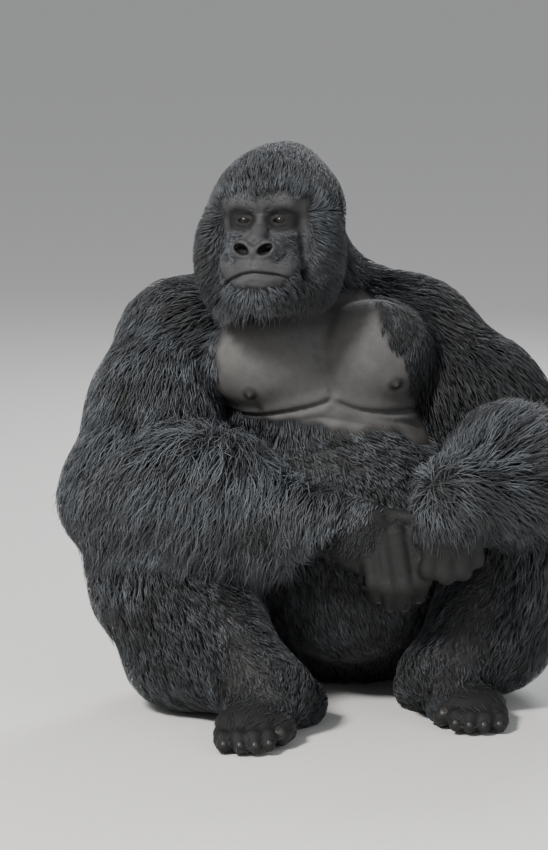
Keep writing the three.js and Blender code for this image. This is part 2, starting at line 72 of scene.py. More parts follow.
def unit(v):
    return v / np.maximum(np.linalg.norm(v, axis=-1, keepdims=True), 1e-9)


def turn(axis, degrees):
    c = math.cos(math.radians(degrees))
    s = math.sin(math.radians(degrees))
    x, y, z = axis
    return np.array(
        [
            [c + x * x * (1 - c), x * y * (1 - c) - z * s, x * z * (1 - c) + y * s],
            [y * x * (1 - c) + z * s, c + y * y * (1 - c), y * z * (1 - c) - x * s],
            [z * x * (1 - c) - y * s, z * y * (1 - c) + x * s, c + z * z * (1 - c)],
        ]
    )


def smoothstep(low, high, value):
    t = np.clip((value - low) / (high - low), 0, 1)
    return t * t * (3 - 2 * t)


# The head's own frame: x to its left, y back, z up, from between the eyes.
EYE_MIDDLE = vec(-116, -232, 891)
HEAD_YAW, HEAD_ROLL, HEAD_PITCH = -15.0, -1.5, 4.0
HEAD = turn((0, 0, 1), HEAD_YAW) @ turn((0, 1, 0), HEAD_ROLL) @ turn((1, 0, 0), -HEAD_PITCH)


def on_head(x, y, z):
    return EYE_MIDDLE + HEAD @ vec(x, y, z)


def in_head(p):
    return (p - EYE_MIDDLE) @ HEAD


# ------------------------------------------------------------------ forms
# A form's field is negative inside it and near the distance from it outside. Its coat is its hair's depth.


class Form:
    def near(self, p, margin):
        return np.flatnonzero(np.all((p > self.low - margin) & (p < self.high + margin), axis=-1))


class Bone(Form):
    def __init__(self, region, coat, a, ra, b, rb):
        self.region, self.coat = region, coat
        self.a, self.b, self.ra, self.rb = vec(*a), vec(*b), ra, rb
        self.low = np.minimum(self.a, self.b) - max(ra, rb) - coat
        self.high = np.maximum(self.a, self.b) + max(ra, rb) + coat

    def field(self, p, coat):
        ab = self.b - self.a
        ap = p - self.a
        t = np.clip(ap @ ab / (ab @ ab), 0, 1)
        away = ap - t[:, None] * ab
        return np.sqrt((away * away).sum(-1)) - self.ra - (self.rb - self.ra) * t - coat * self.coat


class Ball(Form):
    def __init__(self, region, coat, centre, radii, axes=None):
        self.region, self.coat = region, coat
        self.centre, self.radii = vec(*centre), vec(*radii)
        self.axes = np.eye(3) if axes is None else np.array([unit(vec(*a)) for a in axes])
        reach = np.sqrt(((self.axes * (self.radii + coat)[:, None]) ** 2).sum(0))
        self.low, self.high = self.centre - reach, self.centre + reach

    def field(self, p, coat):
        radii = self.radii + coat * self.coat
        q = (p - self.centre) @ self.axes.T
        near = np.sqrt(((q / radii) ** 2).sum(-1))
        steep = np.sqrt(((q / radii**2) ** 2).sum(-1))
        return near * (near - 1) / np.maximum(steep, 1e-6)


def head_bone(region, coat, a, ra, b, rb):
    return Bone(region, coat, on_head(*a), ra, on_head(*b), rb)


def head_ball(region, coat, centre, radii, yaw=0.0, pitch=0.0, roll=0.0):
    axes = (HEAD @ turn((0, 0, 1), yaw) @ turn((0, 1, 0), roll) @ turn((1, 0, 0), pitch)).T
    return Ball(region, coat, on_head(*centre), radii, axes)


def smooth_min(a, b, k):
    h = np.maximum(k - np.abs(a - b), 0) / k
    return np.minimum(a, b) - h * h * k * 0.25


def blended(p, forms, k, coat):
    value = np.full(len(p), 300.0)
    for form in forms:
        near = form.near(p, 1.2 * k + 26)
        value[near] = smooth_min(value[near], form.field(p[near], coat), k)
    return value


def carved(value, p, hollows, k):
    for form in hollows:
        near = form.near(p, 3 * k)
        value[near] = -smooth_min(-value[near], form.field(p[near], 0), k)
    return value


# ------------------------------------------------------------------ the body's forms

SIDES = ("right", "left")
OUTWARD = {"right": -1, "left": 1}
SHOULDER = {"right": vec(-262, 45, 628), "left": vec(166, 50, 630)}
ELBOW = {"right": vec(-368, -188, 396), "left": vec(430, -112, 412)}
WRIST = {"right": vec(-24, -300, 374), "left": vec(212, -362, 420)}
HIP = {"right": vec(-65, 60, 150), "left": vec(155, 75, 150)}
KNEE = {"right": vec(-306, -192, 232), "left": vec(376, -150, 256)}
ANKLE = {"right": vec(-78, -375, 75), "left": vec(176, -262, 78)}
HEEL = {"right": vec(-50, -318, 37), "left": vec(168, -192, 37)}
SOLE = {"right": vec(-146, -470, 30), "left": vec(262, -325, 30)}
CALF = {"right": vec(-262, -200, 98), "left": vec(305, -145, 118)}
NAPE = vec(-90, 52, 772)

chest_forms = [
    Ball("chest", 2, (-5, 25, 560), (212, 178, 190)),
    Bone("yoke", 14, (-215, 20, 652), 78, (130, 30, 664), 78),
    Ball("back", 28, (0, 95, 555), (215, 150, 215)),
]
pectoral_forms = [
    Ball("chest", 2, (-108, -98, 620), (118, 78, 88)),
    Ball("chest", 2, (84, -97, 638), (106, 71, 96)),
]
belly_forms = [
    Ball("belly", 9, (38, -42, 318), (212, 196, 212)),
    Ball("belly", 9, (42, -105, 212), (150, 142, 136)),
    Bone("back", 28, (45, 112, 205), 150, (5, 112, 520), 152),
    Ball("rump", 24, (45, 75, 165), (198, 168, 168)),
]
neck_forms = [
    Bone("neck", 26, (-40, 104, 622), 122, NAPE, 100),
    Bone("neck", 26, NAPE, 104, on_head(0, 112, -34), 96),
]


def upper_arm(side):
    s, e, out = SHOULDER[side], ELBOW[side], OUTWARD[side]
    coat = 38 if side == "right" else 26
    name = "upper_arm_" + side
    return [
        Ball(name, 26, s, (90, 98, 94)),
        Bone(name, coat, s, 90, e, 74),
        Ball(name, coat, s * 0.55 + e * 0.45 + vec(out * 6, -18, 0), (84, 92, 102)),
    ]


forearm = {
    "right": [
        Bone("forearm_right", 35, ELBOW["right"], 76, WRIST["right"], 44),
        Ball("forearm_right", 45, (-222, -250, 425), (112, 72, 78)),
    ],
    "left": [
        Bone("forearm_left", 33, ELBOW["left"], 82, WRIST["left"], 48),
        Ball("forearm_left", 45, (322, -238, 438), (88, 88, 92)),
    ],
}
fringe_forms = [
    Ball("forearm_right", 22, (-205, -262, 330), (138, 56, 66)),
    Ball("forearm_right", 26, (-338, -190, 352), (70, 64, 52)),
]


def leg(side):
    h, k, a, out = HIP[side], KNEE[side], ANKLE[side], OUTWARD[side]
    thigh, shin = "thigh_" + side, "shin_" + side
    return [
        Bone(thigh, 32, h, 112, k, 92),
        Ball(thigh, 28, (h + k) / 2 + vec(out * 22, 6, -42), (112, 120, 96)),
        Bone(shin, 32, k, 90, k * 0.58 + a * 0.42, 72),
        Bone(shin, 16, k * 0.65 + a * 0.35, 66, a, 40),
        Ball(shin, 24, CALF[side], (90, 108, 78)),
        Bone(shin, 16, CALF[side], 62, a * 0.65 + SOLE[side] * 0.35, 34),
    ]


def foot(side):
    h, b = HEEL[side], SOLE[side]
    along = unit(b - h)
    across = unit(np.cross((0, 0, 1), along))
    axes = (across, along, np.cross(across, along))
    name = "foot_" + side
    return [
        Bone(name, 8, ANKLE[side], 42, h, 40),
        Bone(name, 4, h, 38, h * 0.25 + b * 0.75, 36),
        Ball(name, 4, h * 0.14 + b * 0.86 + vec(0, 0, 4), (66, 72, 32), axes),
    ]


PALM_AXES = ((0.9, -0.1, -0.42), (0.1, 1, 0), (0.42, 0, 0.9))
hand = {
    "right": [
        Bone("hand_right", 4, WRIST["right"], 42, (60, -322, 352), 34),
        Ball("hand_right", 4, (62, -318, 338), (88, 34, 66), PALM_AXES),
    ],
    "left": [
        Bone("hand_left", 4, WRIST["left"], 46, (208, -376, 352), 32),
        Ball("hand_left", 4, (208, -368, 352), (54, 34, 54)),
    ],
}

# Digits: joints from the knuckle to the tip, with the thumb first, and the radius at each.
FINGER, LITTLE, THUMB = (17, 17, 14), (16, 15, 12), (15, 13, 10)
FINGERS = {
    "right": [
        (((104, -322, 376), (146, -336, 374), (160, -338, 342)), THUMB),
        (((148, -340, 345), (162, -356, 268), (160, -320, 232)), FINGER),
        (((121, -342, 346), (134, -361, 258), (134, -324, 218)), FINGER),
        (((95, -340, 338), (107, -361, 256), (109, -324, 218)), FINGER),
        (((70, -336, 322), (81, -354, 262), (86, -320, 231)), LITTLE),
    ],
    "left": [
        (((186, -366, 402), (160, -372, 380), (156, -368, 344)), THUMB),
        (((180, -384, 342), (176, -380, 292), (182, -330, 288)), FINGER),
        (((205, -388, 340), (204, -384, 284), (205, -330, 282)), FINGER),
        (((230, -386, 342), (232, -380, 290), (228, -330, 290)), FINGER),
        (((252, -378, 352), (256, -370, 308), (250, -328, 306)), LITTLE),
    ],
}
TOE = (15, 14, 11.5)
TOES = [
    (((-98, -430, 32), (-80, -472, 28), (-86, -502, 22)), (23, 21, 17)),
    (((-114, -498, 30), (-108, -530, 26), (-106, -548, 18)), TOE),
    (((-138, -504, 30), (-132, -540, 26), (-130, -557, 17)), TOE),
    (((-163, -502, 28), (-158, -538, 24), (-156, -554, 16)), TOE),
    (((-188, -490, 24), (-186, -524, 21), (-184, -540, 14)), TOE),
]


def toes(side):
    # The left toes mirror the right ones, further back.
    if side == "right":
        return TOES
    return [([(116 - x, y + 145, z) for x, y, z in joints], radii) for joints, radii in TOES]


def digit(region, joints, radii):
    ends = list(zip(joints, radii))
    return [Bone(region, 0, *a, *b) for a, b in zip(ends, ends[1:])]


finger_forms = {side: [digit("hand_" + side, *finger) for finger in FINGERS[side]] for side in SIDES}
toe_forms = {side: [digit("foot_" + side, *toe) for toe in toes(side)] for side in SIDES}


# ------------------------------------------------------------------ the head's forms

cranium_forms = [
    head_ball("head", 22, (0, 102, 18), (102, 122, 92)),
    head_bone("head", 22, (0, 62, 58), 50, (0, 150, 68), 54),
    head_ball("head", 28, (-68, 72, -68), (55, 80, 102)),
    head_ball("head", 28, (53, 72, -64), (54, 80, 98)),
    head_ball("beard", 24, (0, 48, -118), (74, 74, 56)),
]
beard_forms = [head_ball("beard", 26, (-24, 22, -159), (62, 50, 48))]
face_forms = [
    head_ball("face", 1, (0, 44, -28), (76, 66, 84)),
    head_ball("face", 12, (0, 46, 40), (70, 54, 38)),
    head_ball("face", 1, (0, -8, -78), (60, 62, 48)),
    head_ball("beard", 6, (0, -10, -122), (48, 42, 32)),
]
cheek_forms = [head_ball("face", 1, (x, 26, -44), (36, 36, 38)) for x in (-58, 58)]
lip_forms = [
    head_bone("face", 1, (-40, -28, -82), 33, (40, -28, -82), 33),
    head_ball("face", 1, (0, -40, -110), (42, 30, 20)),
    head_ball("face", 1, (0, -52, -78), (34, 22, 18)),
]
BROW = (((-80, 36, 22), 15), ((-46, -5, 33), 16), ((0, -13, 32), 16), ((46, -5, 33), 16), ((80, 36, 22), 15))
brow_forms = [head_bone("face", 4, *a, *b) for a, b in zip(BROW, BROW[1:])]
nose_forms = [
    head_bone("face", 1, (0, -6, -4), 13, (0, -46, -36), 17),
    *[head_ball("face", 1, (x, -54, -50), (23, 22, 19)) for x in (-22, 22)],
    head_ball("face", 1, (0, -64, -54), (8, 14, 12)),
]
EAR = (((112, 104, 20), (9, 17, 24)), ((102, 100, 12), (14, 16, 18)))
ear_forms = [head_ball("ear", 3, (s * x, y, z), radii) for s in (-1, 1) for (x, y, z), radii in EAR]
EYE_RADIUS, CORNEA = 13.0, 0.9  # the cornea stands proud of the eye
EYES = {side: (OUTWARD[side] * 32.5, 0, 0) for side in SIDES}
socket_forms = [head_ball("face", 0, (x, -30, 4), (29, 26, 15)) for x in (-38, 38)]
lid_forms = [head_ball("face", 0, (x, 2, 0), (19, 16, 15.4)) for x in (-33.5, 33.5)]
opening_forms = [
    head_ball("face", 0, (EYES[s][0], -17, -0.5), (11.5, 14, 3.7), OUTWARD[s] * 8) for s in SIDES
]
nostril_forms = [
    head_ball("face", 0, (s * 20.5, -75, -50), (14, 27, 9.2), s * -20, 14, s * -24) for s in (-1, 1)
]
channel_forms = [head_ball("face", 0, (s * 82, -17 - 3 * s, -36), (13, 34, 56), s * 20) for s in (-1, 1)]
ear_bowls = [head_ball("ear", 0, (s * 124, 99, 21), (10, 11, 16)) for s in (-1, 1)]


# ------------------------------------------------------------------ the fields
# With coat 0 a field is that of the skin, with all its folds; with coat 1 it is the outline of the coat.
# The numbers are the widths of the joins: a wide one is soft, a narrow one keeps an edge.

ARM_BLEND, LEG_BLEND, PAW_BLEND, DIGIT_BLEND = 46, 50, 24, 8


def head_field(p, coat):
    if coat:
        forms = cranium_forms + beard_forms + face_forms + brow_forms + nose_forms + lip_forms
        return carved(blended(p, forms + cheek_forms, 22, 1), p, channel_forms, 26)
    value = blended(p, cranium_forms + face_forms + cheek_forms, 26, 0)
    value = carved(value, p, channel_forms, 26)
    value = smooth_min(value, blended(p, lip_forms, 14, 0), 14)
    value = smooth_min(value, blended(p, brow_forms, 12, 0), 12)
    value = carved(value, p, socket_forms, 12)
    value = smooth_min(value, blended(p, nose_forms, 6, 0), 9)
    value = smooth_min(value, blended(p, lid_forms, 2, 0), 11)
    value = carved(value, p, opening_forms, 2)
    return carved(value, p, nostril_forms, 4)


def ear_field(p, coat):
    value = blended(p, ear_forms, 6, coat)
    return value if coat else carved(value, p, ear_bowls, 5)


def with_digits(paw, p, digits, k):
    for forms in digits:
        paw = smooth_min(paw, blended(p, forms, DIGIT_BLEND, 0), k)
    return paw


def arm_field(p, side, coat):
    forms = upper_arm(side) + forearm[side]
    if coat and side == "right":
        forms = forms + fringe_forms
    value = blended(p, forms, ARM_BLEND, coat)
    paw = blended(p, hand[side], PAW_BLEND, coat)
    if coat:
        return np.minimum(value, paw)
    return smooth_min(value, with_digits(paw, p, finger_forms[side], 9), 22)


def leg_field(p, side, coat):
    value = blended(p, leg(side), LEG_BLEND, coat)
    paw = with_digits(blended(p, foot(side), PAW_BLEND, coat), p, toe_forms[side], 10)
    return smooth_min(value, paw, 1 if coat else 20)


def trunk_field(p, coat):
    if coat:
        return blended(p, chest_forms + pectoral_forms + belly_forms + neck_forms, 60, 1)
    value = blended(p, chest_forms + belly_forms + neck_forms, 55, 0)
    return smooth_min(value, blended(p, pectoral_forms, 22, 0), 26)


def skin_field(p):
    value = trunk_field(p, 0)
    for side in SIDES:
        value = smooth_min(value, blended(p, upper_arm(side), ARM_BLEND, 0), 48)
        value = smooth_min(value, arm_field(p, side, 0), 14)
        value = smooth_min(value, leg_field(p, side, 0), 14)
    value = smooth_min(value, head_field(p, 0), 24)
    value = smooth_min(value, ear_field(p, 0), 8)
    return np.maximum(value, -p[:, 2])


def outline_field(p):
    value = trunk_field(p, 1)
    for side in SIDES:
        shoulder = blended(p, upper_arm(side) + chest_forms + neck_forms, 50, 1)
        value = np.minimum(value, np.minimum(shoulder, arm_field(p, side, 1)))
        value = np.minimum(value, leg_field(p, side, 1))
    value = np.minimum(value, head_field(p, 1))
    value = np.minimum(value, ear_field(p, 1))
    return np.maximum(value, -p[:, 2])


# ------------------------------------------------------------------ grids of a field

CORNERS = [(i, j, k) for i in (0, 1) for j in (0, 1) for k in (0, 1)]


class Grid:
    # A field's values at the corners of even cells; with a rough grid, only those near the surface are exact.
    def __init__(self, field, low, high, cell, rough=None):
        self.low, self.cell = np.array(low, dtype=float), cell
        axes = [np.arange(low[i], high[i] + cell, cell) for i in range(3)]
        points = np.stack(np.meshgrid(*axes, indexing="ij"), -1)
        shape = points.shape[:3]
        points = points.reshape(-1, 3)
        if rough is None:
            values = field(points)
        else:
            values = rough.at(points)
            near = np.flatnonzero(np.abs(values) < 3.2 * rough.cell)
            values[near] = field(points[near])
        self.values = values.reshape(shape).astype(np.float32)

    def at(self, p):
        q = (p - self.low) / self.cell
        most = np.array(self.values.shape) - 2
        i = np.clip(np.floor(q).astype(int), 0, most)
        t = np.clip(q - i, 0, 1)
        value = 0
        for corner in CORNERS:
            x, y, z = (i + corner).T
            share = np.where(corner, t, 1 - t)
            value = value + share[:, 0] * share[:, 1] * share[:, 2] * self.values[x, y, z]
        return value

    def slope(self, p):
        steps = np.eye(3) * (self.cell * 0.6)
        return unit(np.stack([self.at(p + d) - self.at(p - d) for d in steps], -1))


def surface_net(grid):
    # One point in each cell that the surface crosses, one quad for each grid edge that it crosses.
    values = grid.values
    inside = values < 0
    nx, ny, nz = values.shape
    blocks = [inside[i : nx - 1 + i, j : ny - 1 + j, k : nz - 1 + k] for i, j, k in CORNERS]
    count = sum(block.astype(np.int8) for block in blocks)
    active = (count > 0) & (count < 8)
    cells = np.argwhere(active)
    number = np.full(active.shape, -1, dtype=np.int64)
    number[active] = np.arange(len(cells))
    v = np.stack([values[tuple((cells + corner).T)] for corner in CORNERS], 1)
    total = np.zeros((len(cells), 3))
    hits = np.zeros(len(cells))
    for a in range(8):
        for axis, bit in enumerate((4, 2, 1)):
            if a & bit:
                continue
            va, vb = v[:, a], v[:, a + bit]
            crossing = (va < 0) != (vb < 0)
            t = np.where(crossing, va / np.where(crossing, va - vb, 1), 0)
            spot = np.array(CORNERS[a], dtype=float)[None] + t[:, None] * np.eye(3)[axis][None]
            total += spot * crossing[:, None]
            hits += crossing
    points = grid.low + (cells + total / hits[:, None]) * grid.cell
    quads = []
    for axis in range(3):
        order = (axis, (axis + 1) % 3, (axis + 2) % 3)
        ins = inside.transpose(order)
        num = number.transpose(order)
        edge = np.argwhere(ins[:-1, 1:-1, 1:-1] != ins[1:, 1:-1, 1:-1]) + [0, 1, 1]
        i, j, k = edge.T
        quad = np.stack([num[i, j - 1, k - 1], num[i, j, k - 1], num[i, j, k], num[i, j - 1, k]], 1)
        out = ins[i, j, k]
        quad[~out] = quad[~out][:, ::-1]
        quads.append(quad)
    return points, np.concatenate(quads)


def settled(field, p, most, rounds=2, step=0.4):
    # Moves points onto the surface of the field, by at most a distance.
    start = p
    for _ in range(rounds):
        value = field(p)
        slope = np.stack([(field(p + d) - value) / step for d in np.eye(3) * step], -1)
        steep = np.maximum((slope * slope).sum(-1), 0.1)
        moved = p - slope * (value / steep)[:, None] - start
        far = np.linalg.norm(moved, axis=-1, keepdims=True)
        p = start + moved * np.minimum(1, most / np.maximum(far, 1e-9))
    return p


# ------------------------------------------------------------------ pieces


def metres(p):
    return (np.asarray(p) - REST) / 1000.0


def mesh_object(name, points, faces):
    # The faces are an array of triangles or of quads.
    data = bpy.data.meshes.new(name)
    faces = np.asarray(faces, dtype=np.int32)
    data.vertices.add(len(points))
    data.vertices.foreach_set("co", np.asarray(points, dtype=np.float32).ravel())
    data.loops.add(faces.size)
    data.loops.foreach_set("vertex_index", faces.ravel())
    data.polygons.add(len(faces))
    data.polygons.foreach_set("loop_start", np.arange(0, faces.size, faces.shape[1], dtype=np.int32))
    data.polygons.foreach_set("use_smooth", np.full(len(faces), True))
    data.update()
    data.validate()
    obj = bpy.data.objects.new(name, data)
    bpy.context.scene.collection.objects.link(obj)
    return obj


def set_points(obj, points):
    obj.data.vertices.foreach_set("co", np.asarray(points, dtype=np.float32).ravel())
    obj.data.update()


def triples(items, name):
    values = np.empty(len(items) * 3, dtype=np.float32)
    items.foreach_get(name, values)
    return values.reshape(-1, 3).astype(np.float64)


def points_of(obj):
    return triples(obj.data.vertices, "co")


def normals_of(obj):
    return triples(obj.data.vertex_normals, "vector")


def refine(obj, chosen, cuts):
    # Splits every face whose corners are all chosen; chosen is a function of the points.
    work = bmesh.new()
    work.from_mesh(obj.data)
    p = np.array([v.co[:] for v in work.verts])
    mark = chosen(p)
    edges = set()
    for face in work.faces:
        if all(mark[v.index] for v in face.verts):
            edges.update(face.edges)
    bmesh.ops.subdivide_edges(work, edges=list(edges), cuts=cuts, use_grid_fill=True)
    work.to_mesh(obj.data)
    work.free()
    obj.data.polygons.foreach_set("use_smooth", np.full(len(obj.data.polygons), True))
    obj.data.update()


def near_any(p, forms, margin):
    hit = np.zeros(len(p), dtype=bool)
    for form in forms:
        close = form.near(p, margin)
        hit[close] |= form.field(p[close], 0) < margin
    return hit


# ------------------------------------------------------------------ the skin

LOW, HIGH = vec(-500, -585, -12), vec(560, 310, 1040)
rough_skin = Grid(skin_field, LOW - 8, HIGH + 8, 4 * CELL)
skin_grid = Grid(skin_field, LOW, HIGH, CELL, rough_skin)
rough_outline = Grid(outline_field, LOW - 8, HIGH + 8, 4 * CELL)
outline_grid = Grid(outline_field, LOW, HIGH, CELL * 1.5, rough_outline)

points, quads = surface_net(skin_grid)
skin = mesh_object("skin", points, quads)


def between(low, value, high):
    return (value > low) & (value < high)


def face_zone(p):
    x, y, z = in_head(p).T
    return (y < 56) & between(-96, x, 96) & between(-150, z, 58)


def fine_face_zone(p):
    x, y, z = in_head(p).T
    x = np.abs(x)
    eyes = between(7, x, 59) & between(-20, z, 20) & (y < 22)
    nose = (x < 44) & between(-74, z, -28) & (y < -34)
    mouth = (x < 74) & between(-122, z, -78) & (y < 4)
    return eyes | nose | mouth


def chest_zone(p):
    return (p[:, 1] < -60) & between(500, p[:, 2], 730) & between(-220, p[:, 0], 210)


def paw_zone(p):
    digits = [form for side in SIDES for forms in finger_forms[side] + toe_forms[side] for form in forms]
    return near_any(p, digits, 14) | near_any(p, hand["right"] + hand["left"], 8)


refine(skin, face_zone, 3)
refine(skin, paw_zone, 2)
refine(skin, chest_zone, 1)
set_points(skin, settled(skin_field, points_of(skin), CELL * 0.9))
refine(skin, fine_face_zone, 1)
fine = points_of(skin)
chosen = fine_face_zone(fine)
fine[chosen] = settled(skin_field, fine[chosen], 3.0)
set_points(skin, fine)


def on_skin(line, samples=40):
    # A line of points laid onto the skin and filled in with even steps.
    line = np.array(line, dtype=float)
    steps = np.linspace(0, len(line) - 1, samples)
    i = np.minimum(steps.astype(int), len(line) - 2)
    t = (steps - i)[:, None]
    before = line[np.maximum(i - 1, 0)]
    after = line[np.minimum(i + 2, len(line) - 1)]
    a, b = line[i], line[i + 1]
    curve = a + t * (b - a) + 0.5 * t * (1 - t) * ((b - before) * (1 - t) - (after - a) * t) * 0.5
    return settled(skin_field, curve, 60, 6)


def press(p, n, line, depth, width, samples=40):
    # Moves the skin in along a line, or out where depth is negative; it fades to the line's ends.
    track = on_skin(line, samples)
    middle, reach = track.mean(0), np.linalg.norm(track - track.mean(0), axis=-1).max() + 3 * width
    close = np.flatnonzero(np.linalg.norm(p - middle, axis=-1) < reach)
    gaps = np.linalg.norm(p[close, None, :] - track[None], axis=-1)
    nearest = gaps.argmin(1)
    along = nearest / (samples - 1)
    fade = np.minimum(1, np.minimum(along, 1 - along) * 7 + 0.12)
    amount = depth * fade * np.exp(-((gaps.min(1) / width) ** 2))
    p[close] -= n[close] * amount[:, None]


nipples = on_skin([(-140, -160, 570), (128, -168, 580)], 2)


def carve_face(p, n):
    # Each line is in the head's frame, after its depth, width and samples.
    def fold(depth, width, samples, *line):
        press(p, n, [on_head(*spot) for spot in line], depth, width, samples)

    def folds(depth, width, samples, *line):
        fold(depth, width, samples, *line)
        fold(depth, width, samples, *[(-x, y, z) for x, y, z in line])

    # the mouth, the lips' edges, the fold under them and the groove over them
    mouth = [(-63, -20, -111), (-46, -52, -103), (-24, -74, -95), (0, -82, -92)]
    fold(5.5, 2.3, 90, *mouth, (24, -74, -92.5), (46, -52, -94), (63, -20, -96))
    fold(-2.2, 4.5, 60, (-52, -46, -100), (-26, -74, -89), (0, -84, -85), (26, -74, -87), (52, -46, -92))
    fold(-3.0, 6, 60, (-40, -52, -112), (-20, -70, -105), (0, -76, -101), (20, -70, -103), (40, -52, -105))
    fold(3.0, 7, 40, (-34, -50, -124), (0, -62, -117), (34, -50, -121))
    fold(1.6, 3.5, 20, (0, -74, -64), (0, -84, -84))
    # the folds beside the muzzle and round the nose
    folds(7.5, 8, 60, (28, -50, -36), (40, -40, -48), (56, -22, -72), (68, -2, -94), (72, 14, -114))
    folds(2.2, 4, 30, (36, -36, -64), (52, -34, -76), (64, -16, -92))
    wing = [(18, -62, -25), (32, -56, -24), (46, -46, -35), (51, -40, -53), (44, -44, -70), (26, -60, -76)]
    folds(4.2, 5, 50, *wing)
    for side in (-1, 1):
        rim = []
        for i in range(17):
            u, v = 17.5 * math.cos(i * math.pi / 8), 13.0 * math.sin(i * math.pi / 8)
            rim.append((side * (21 + u * 0.91 - v * 0.4), -70, -48 + u * 0.4 + v * 0.91))
        fold(-2.2, 5.5, 70, *rim)
    fold(2.0, 4.0, 24, (0, -60, -32), (0, -76, -44))
    # the lids and the bags under the eyes
    folds(1.4, 2.2, 24, (18, -12, -9), (32, -15, -13), (46, -8, -11))
    folds(2.4, 4, 24, (14, -16, -16), (30, -18, -22), (50, -8, -20))
    folds(1.6, 2.2, 24, (18, -10, 8), (32, -13, 10.5), (48, -6, 7))
    folds(1.8, 4, 24, (6, -22, -12), (22, -22, -26), (40, -14, -36))
    # the wrinkles across the nose and the furrows of the brow
    for z in (-6, -13, -20):
        fold(1.3, 2.6, 24, (-13, -18, z + 3), (0, -26, z), (13, -18, z + 3))
    fold(4.5, 7, 24, (0, -20, 8), (0, -22, 26), (0, -8, 44))
    folds(1.8, 4, 24, (10, -18, 10), (9, -20, 22), (14, -10, 34))


BREASTBONE = [(9, -152, 561), (8, -152, 580), (2, -154, 600), (-8, -154, 622), (-14, -151, 648)]
BREAST_CREASES = (
    [(-200, -50, 542), (-192, -64, 532), (-159, -94, 527), (-95, -135, 531), (-41, -150, 541)]
    + [(-5, -152, 552), (9, -153, 564)],
    [(10, -152, 558), (31, -150, 546), (62, -145, 536), (104, -130, 530), (132, -112, 529)]
    + [(158, -88, 530), (172, -60, 536)],
)
BELLY_CREASES = (
    (3.4, [(40, -150, 529), (95, -136, 519), (150, -101, 506), (182, -76, 491)]),
    (3.0, [(-60, -147, 519), (-10, -152, 524), (31, -152, 518), (95, -141, 506), (160, -105, 484)]),
)


def carve_breast(p, n):
    press(p, n, BREASTBONE, 5, 9)
    press(p, n, [BREASTBONE[-1], (-6, -140, 690), (4, -110, 725)], 3, 12)
    for line in BREAST_CREASES:
        press(p, n, line, 7, 4.2, 80)
        press(p, n, [(x, y, z + 13) for x, y, z in line], -3.5, 12, 60)
        press(p, n, [(x, y, z - 11) for x, y, z in line], -2.5, 8, 60)
    for depth, line in BELLY_CREASES:
        press(p, n, line, depth, 5)
    for nipple in nipples:
        gap = np.linalg.norm(p - nipple, axis=-1)
        p += n * (9.0 * np.exp(-((gap / 6.0) ** 2)) + 3.0 * np.exp(-((gap / 16) ** 2)))[:, None]


def carve_knuckles(p, n):
    for joints, radii in FINGERS["right"] + FINGERS["left"]:
        for joint, radius in zip(joints[:2], radii):
            half = vec(radius * 0.8, 0, 0)
            for shift in (-5, 0, 5):
                spot = vec(*joint) + vec(0, -radius, shift)
                press(p, n, [spot - half, spot + half], 0.9, 1.8, 12)


skin_points, smooth_normals = points_of(skin), normals_of(skin)
carve_face(skin_points, smooth_normals)
carve_breast(skin_points, smooth_normals)
carve_knuckles(skin_points, smooth_normals)
skin_points[:, 2] = np.maximum(skin_points[:, 2], 0.4)
set_points(skin, skin_points)
skin_normals = normals_of(skin)


# ------------------------------------------------------------------ the body's regions and kinds of skin

# Each region's locks: length, width and the space between them in mm, how far they hang free (0 to 1),
# how much they curl, and their tone.
Coat = namedtuple("Coat", "length width gap hang curl tone")
# The right limbs' tones are above the left ones': painted light on the lit right side, painted shade on the
# left.
COATS = {
    "chest": Coat(36, 1.8, 5.0, 0.1, 0.05, 0.4),
    "yoke": Coat(62, 2.8, 5.2, 0.2, 0.05, 0.35),
    "back": Coat(72, 3.6, 7.4, 0.2, 0.05, 0.8),
    "belly": Coat(34, 1.6, 4.5, 0.08, 0.09, 0.5),
    "rump": Coat(60, 3.6, 8.0, 0.2, 0.06, 0.4),
    "neck": Coat(60, 2.8, 5.2, 0.2, 0.05, 0.4),
    "head": Coat(24, 1.25, 2.5, 0.1, 0.05, 0.5),
    "face": Coat(15, 1.0, 3.0, 0.0, 0.04, 1.6),
    "ear": Coat(16, 1.4, 3.0, 0.1, 0.05, 0.4),
    "beard": Coat(60, 1.5, 2.8, 0.8, 0.08, 0.52),
    "upper_arm_right": Coat(88, 2.6, 4.5, 0.35, 0.1, 0.9),
    "upper_arm_left": Coat(80, 2.9, 5.4, 0.3, 0.05, 0.35),
    "forearm_right": Coat(108, 2.4, 4.2, 0.9, 0.15, 1.0),
    "forearm_left": Coat(90, 2.4, 4.6, 0.4, 0.12, 0.85),
    "hand_right": Coat(44, 2.0, 4.2, 0.3, 0.05, 0.7),
    "hand_left": Coat(40, 2.0, 4.2, 0.3, 0.05, 0.55),
    "thigh_right": Coat(82, 2.3, 4.9, 0.4, 0.12, 0.85),
    "thigh_left": Coat(76, 2.4, 5.4, 0.4, 0.12, 0.5),
    "shin_right": Coat(44, 1.3, 4.3, 0.1, 0.1, 0.75),
    "shin_left": Coat(44, 1.3, 4.5, 0.1, 0.1, 0.6),
    "foot_right": Coat(34, 1.5, 3.6, 0.2, 0.08, 0.4),
    "foot_left": Coat(34, 1.5, 3.8, 0.2, 0.08, 0.35),
}
REGIONS = list(COATS)
REGION_BLEND = 7  # how gradually one region turns into the next


